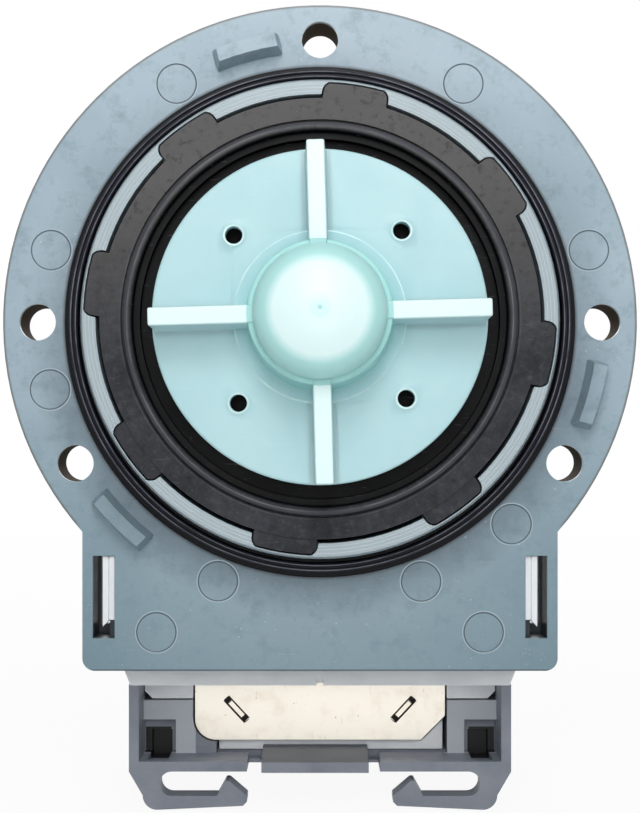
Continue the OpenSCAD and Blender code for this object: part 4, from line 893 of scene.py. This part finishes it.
# Pieces in place of the CAD nodes that show, and materials for those that stay hidden
make_impeller()
make_flange_seal()
dressed("pump_body", POLYESTER, edge=0.2)
dressed("bearing_plate", PLATE_POLYAMIDE, edge=0.15)
for node in ("left_pole_stack", "right_pole_stack", "yoke_stack"):
    dressed(node, CORE_STEEL, edge=0.08)
for node in ("left_bobbin", "right_bobbin", "yoke_insulator"):
    dressed(node, BOBBIN, edge=0.15)
dressed("terminal_housing", HOUSING, edge=0.15)
for node in ("left_terminal", "right_terminal"):
    dressed(node, TINNED, edge=0.1)
dressed("thermal_cutout", CUTOUT_CASE, edge=0.1)

PLAIN = {
    "plate_seal": RUBBER, "front_bearing": CARBON, "rear_bearing": CARBON,
    "front_bearing_mount": MOUNT_RUBBER, "rear_bearing_mount": MOUNT_RUBBER, "rotor_shaft": STEEL,
    "rotor_magnet": FERRITE, "rotor_core": CORE_PLASTIC, "front_thrust_washer": CERAMIC,
    "rear_thrust_washer": CERAMIC, "drive_dog": DOG_PLASTIC, "clutch_damper": MOUNT_RUBBER,
    "hub_cover": COVER, "hub_seal": MOUNT_RUBBER, "left_winding": COPPER, "right_winding": COPPER,
    "left_coil_tape": TAPE, "right_coil_tape": TAPE,
}
for node, material in PLAIN.items():
    NODES[node].data.materials.clear()
    NODES[node].data.materials.append(material)


# Studio: a pale floor under the wire hooks, a white backdrop for the camera, and soft boxes round the lens

def seen_directly(tree):
    """Whether the camera sees this, straight, mirrored or through something clear."""
    path = add(tree, "LightPath").outputs
    mirrored = add(tree, "Math", [path["Is Camera Ray"], path["Is Glossy Ray"]], operation="MAXIMUM")
    return add(tree, "Math", [mirrored, path["Is Transmission Ray"]], operation="MAXIMUM")


def make_floor():
    """A white matt floor just below the object, seen as plain white that sinks a little near the object."""
    material, tree, at = start_material("matt_white_floor")
    lit = add(tree, "BsdfDiffuse", {"Color": linear("#f2f2f2")})
    white = add(tree, "Emission", {"Color": (1, 1, 1, 1), "Strength": 1.0})
    away = add(tree, "VectorMath", [at.mm], operation="LENGTH").outputs["Value"]
    far = add(tree, "MapRange", [away, 120.0, 700.0, 0.93, 1.0])
    share = product(tree, seen_directly(tree), far)
    add(tree, "OutputMaterial", {"Surface": add(tree, "MixShader", [share, lit, white])})
    half = 3.0
    level = CAD_BOX[0][2] - 0.1 * MM
    mesh = bpy.data.meshes.new("floor")
    corners = [(-half, -half, level), (half, -half, level), (half, half, level), (-half, half, level)]
    mesh.from_pydata(corners, [], [(0, 1, 2, 3)])
    mesh.materials.append(material)
    floor = put("floor", mesh)


def make_world():
    """Soft fill from all round, behind which the camera sees plain white."""
    world = bpy.data.worlds.new("studio")
    bpy.context.scene.world = world
    world.use_nodes = True
    tree = world.node_tree
    tree.nodes.clear()
    fill = add(tree, "Background", {"Color": linear("#f4f7fb"), "Strength": 0.24})
    white = add(tree, "Background", {"Color": (1, 1, 1, 1), "Strength": 1.0})
    add(tree, "OutputWorld", {"Surface": add(tree, "MixShader", [seen_directly(tree), fill, white])})


def soft_box(name, place, size, power):
    """A square area lamp, with its place and size in metres and its power in watts, turned towards AIM."""
    lamp = bpy.data.lights.new(name, "AREA")
    lamp.size = size
    lamp.energy = power
    box = put(name, lamp)
    box.location = place
    box.rotation_euler = (AIM - box.location).to_track_quat("-Z", "Y").to_euler()


AIM = Vector((0, 0, -0.01))
LAMPS = {
    "top_box": ((0.0, -0.21, 0.13), 0.09, 0.215),
    "high_box": ((0.0, -0.14, 0.28), 0.22, 0.13),
    "front_box": ((0.0, -0.28, 0.05), 0.10, 0.15),
    "left_box": ((-0.27, -0.17, 0.05), 0.22, 0.03),
    "right_box": ((0.27, -0.17, 0.05), 0.22, 0.06),
    "low_box": ((0.0, -0.30, -0.06), 0.06, 0.07),
    "back_box": ((0.0, 0.42, 0.22), 0.30, 1.0),
}
make_floor()
make_world()
for name, (place, size, power) in LAMPS.items():
    soft_box(name, place, size, power)

# Camera: straight in front of the flange face and 17.1 mm below the rotor axis, with the photograph's size,
# principal row and focal length in pixels
CAMERA_AWAY, CAMERA_DROP = 0.200, 0.0171
PHOTO_H = 813
PRINCIPAL_Y = 440
FOCAL_PX = 1378
camera = bpy.data.cameras.new("camera")
camera.sensor_width = 36
camera.lens = FOCAL_PX / PHOTO_H * camera.sensor_width
camera.shift_y = (PRINCIPAL_Y - PHOTO_H / 2) / PHOTO_H
camera.clip_start = 0.01
eye = put("camera", camera)
eye.location = (0, -CAMERA_AWAY, -CAMERA_DROP)
eye.rotation_euler = (math.radians(90), 0, 0)
bpy.context.scene.camera = eye

bpy.context.scene.view_settings.view_transform = "Standard"
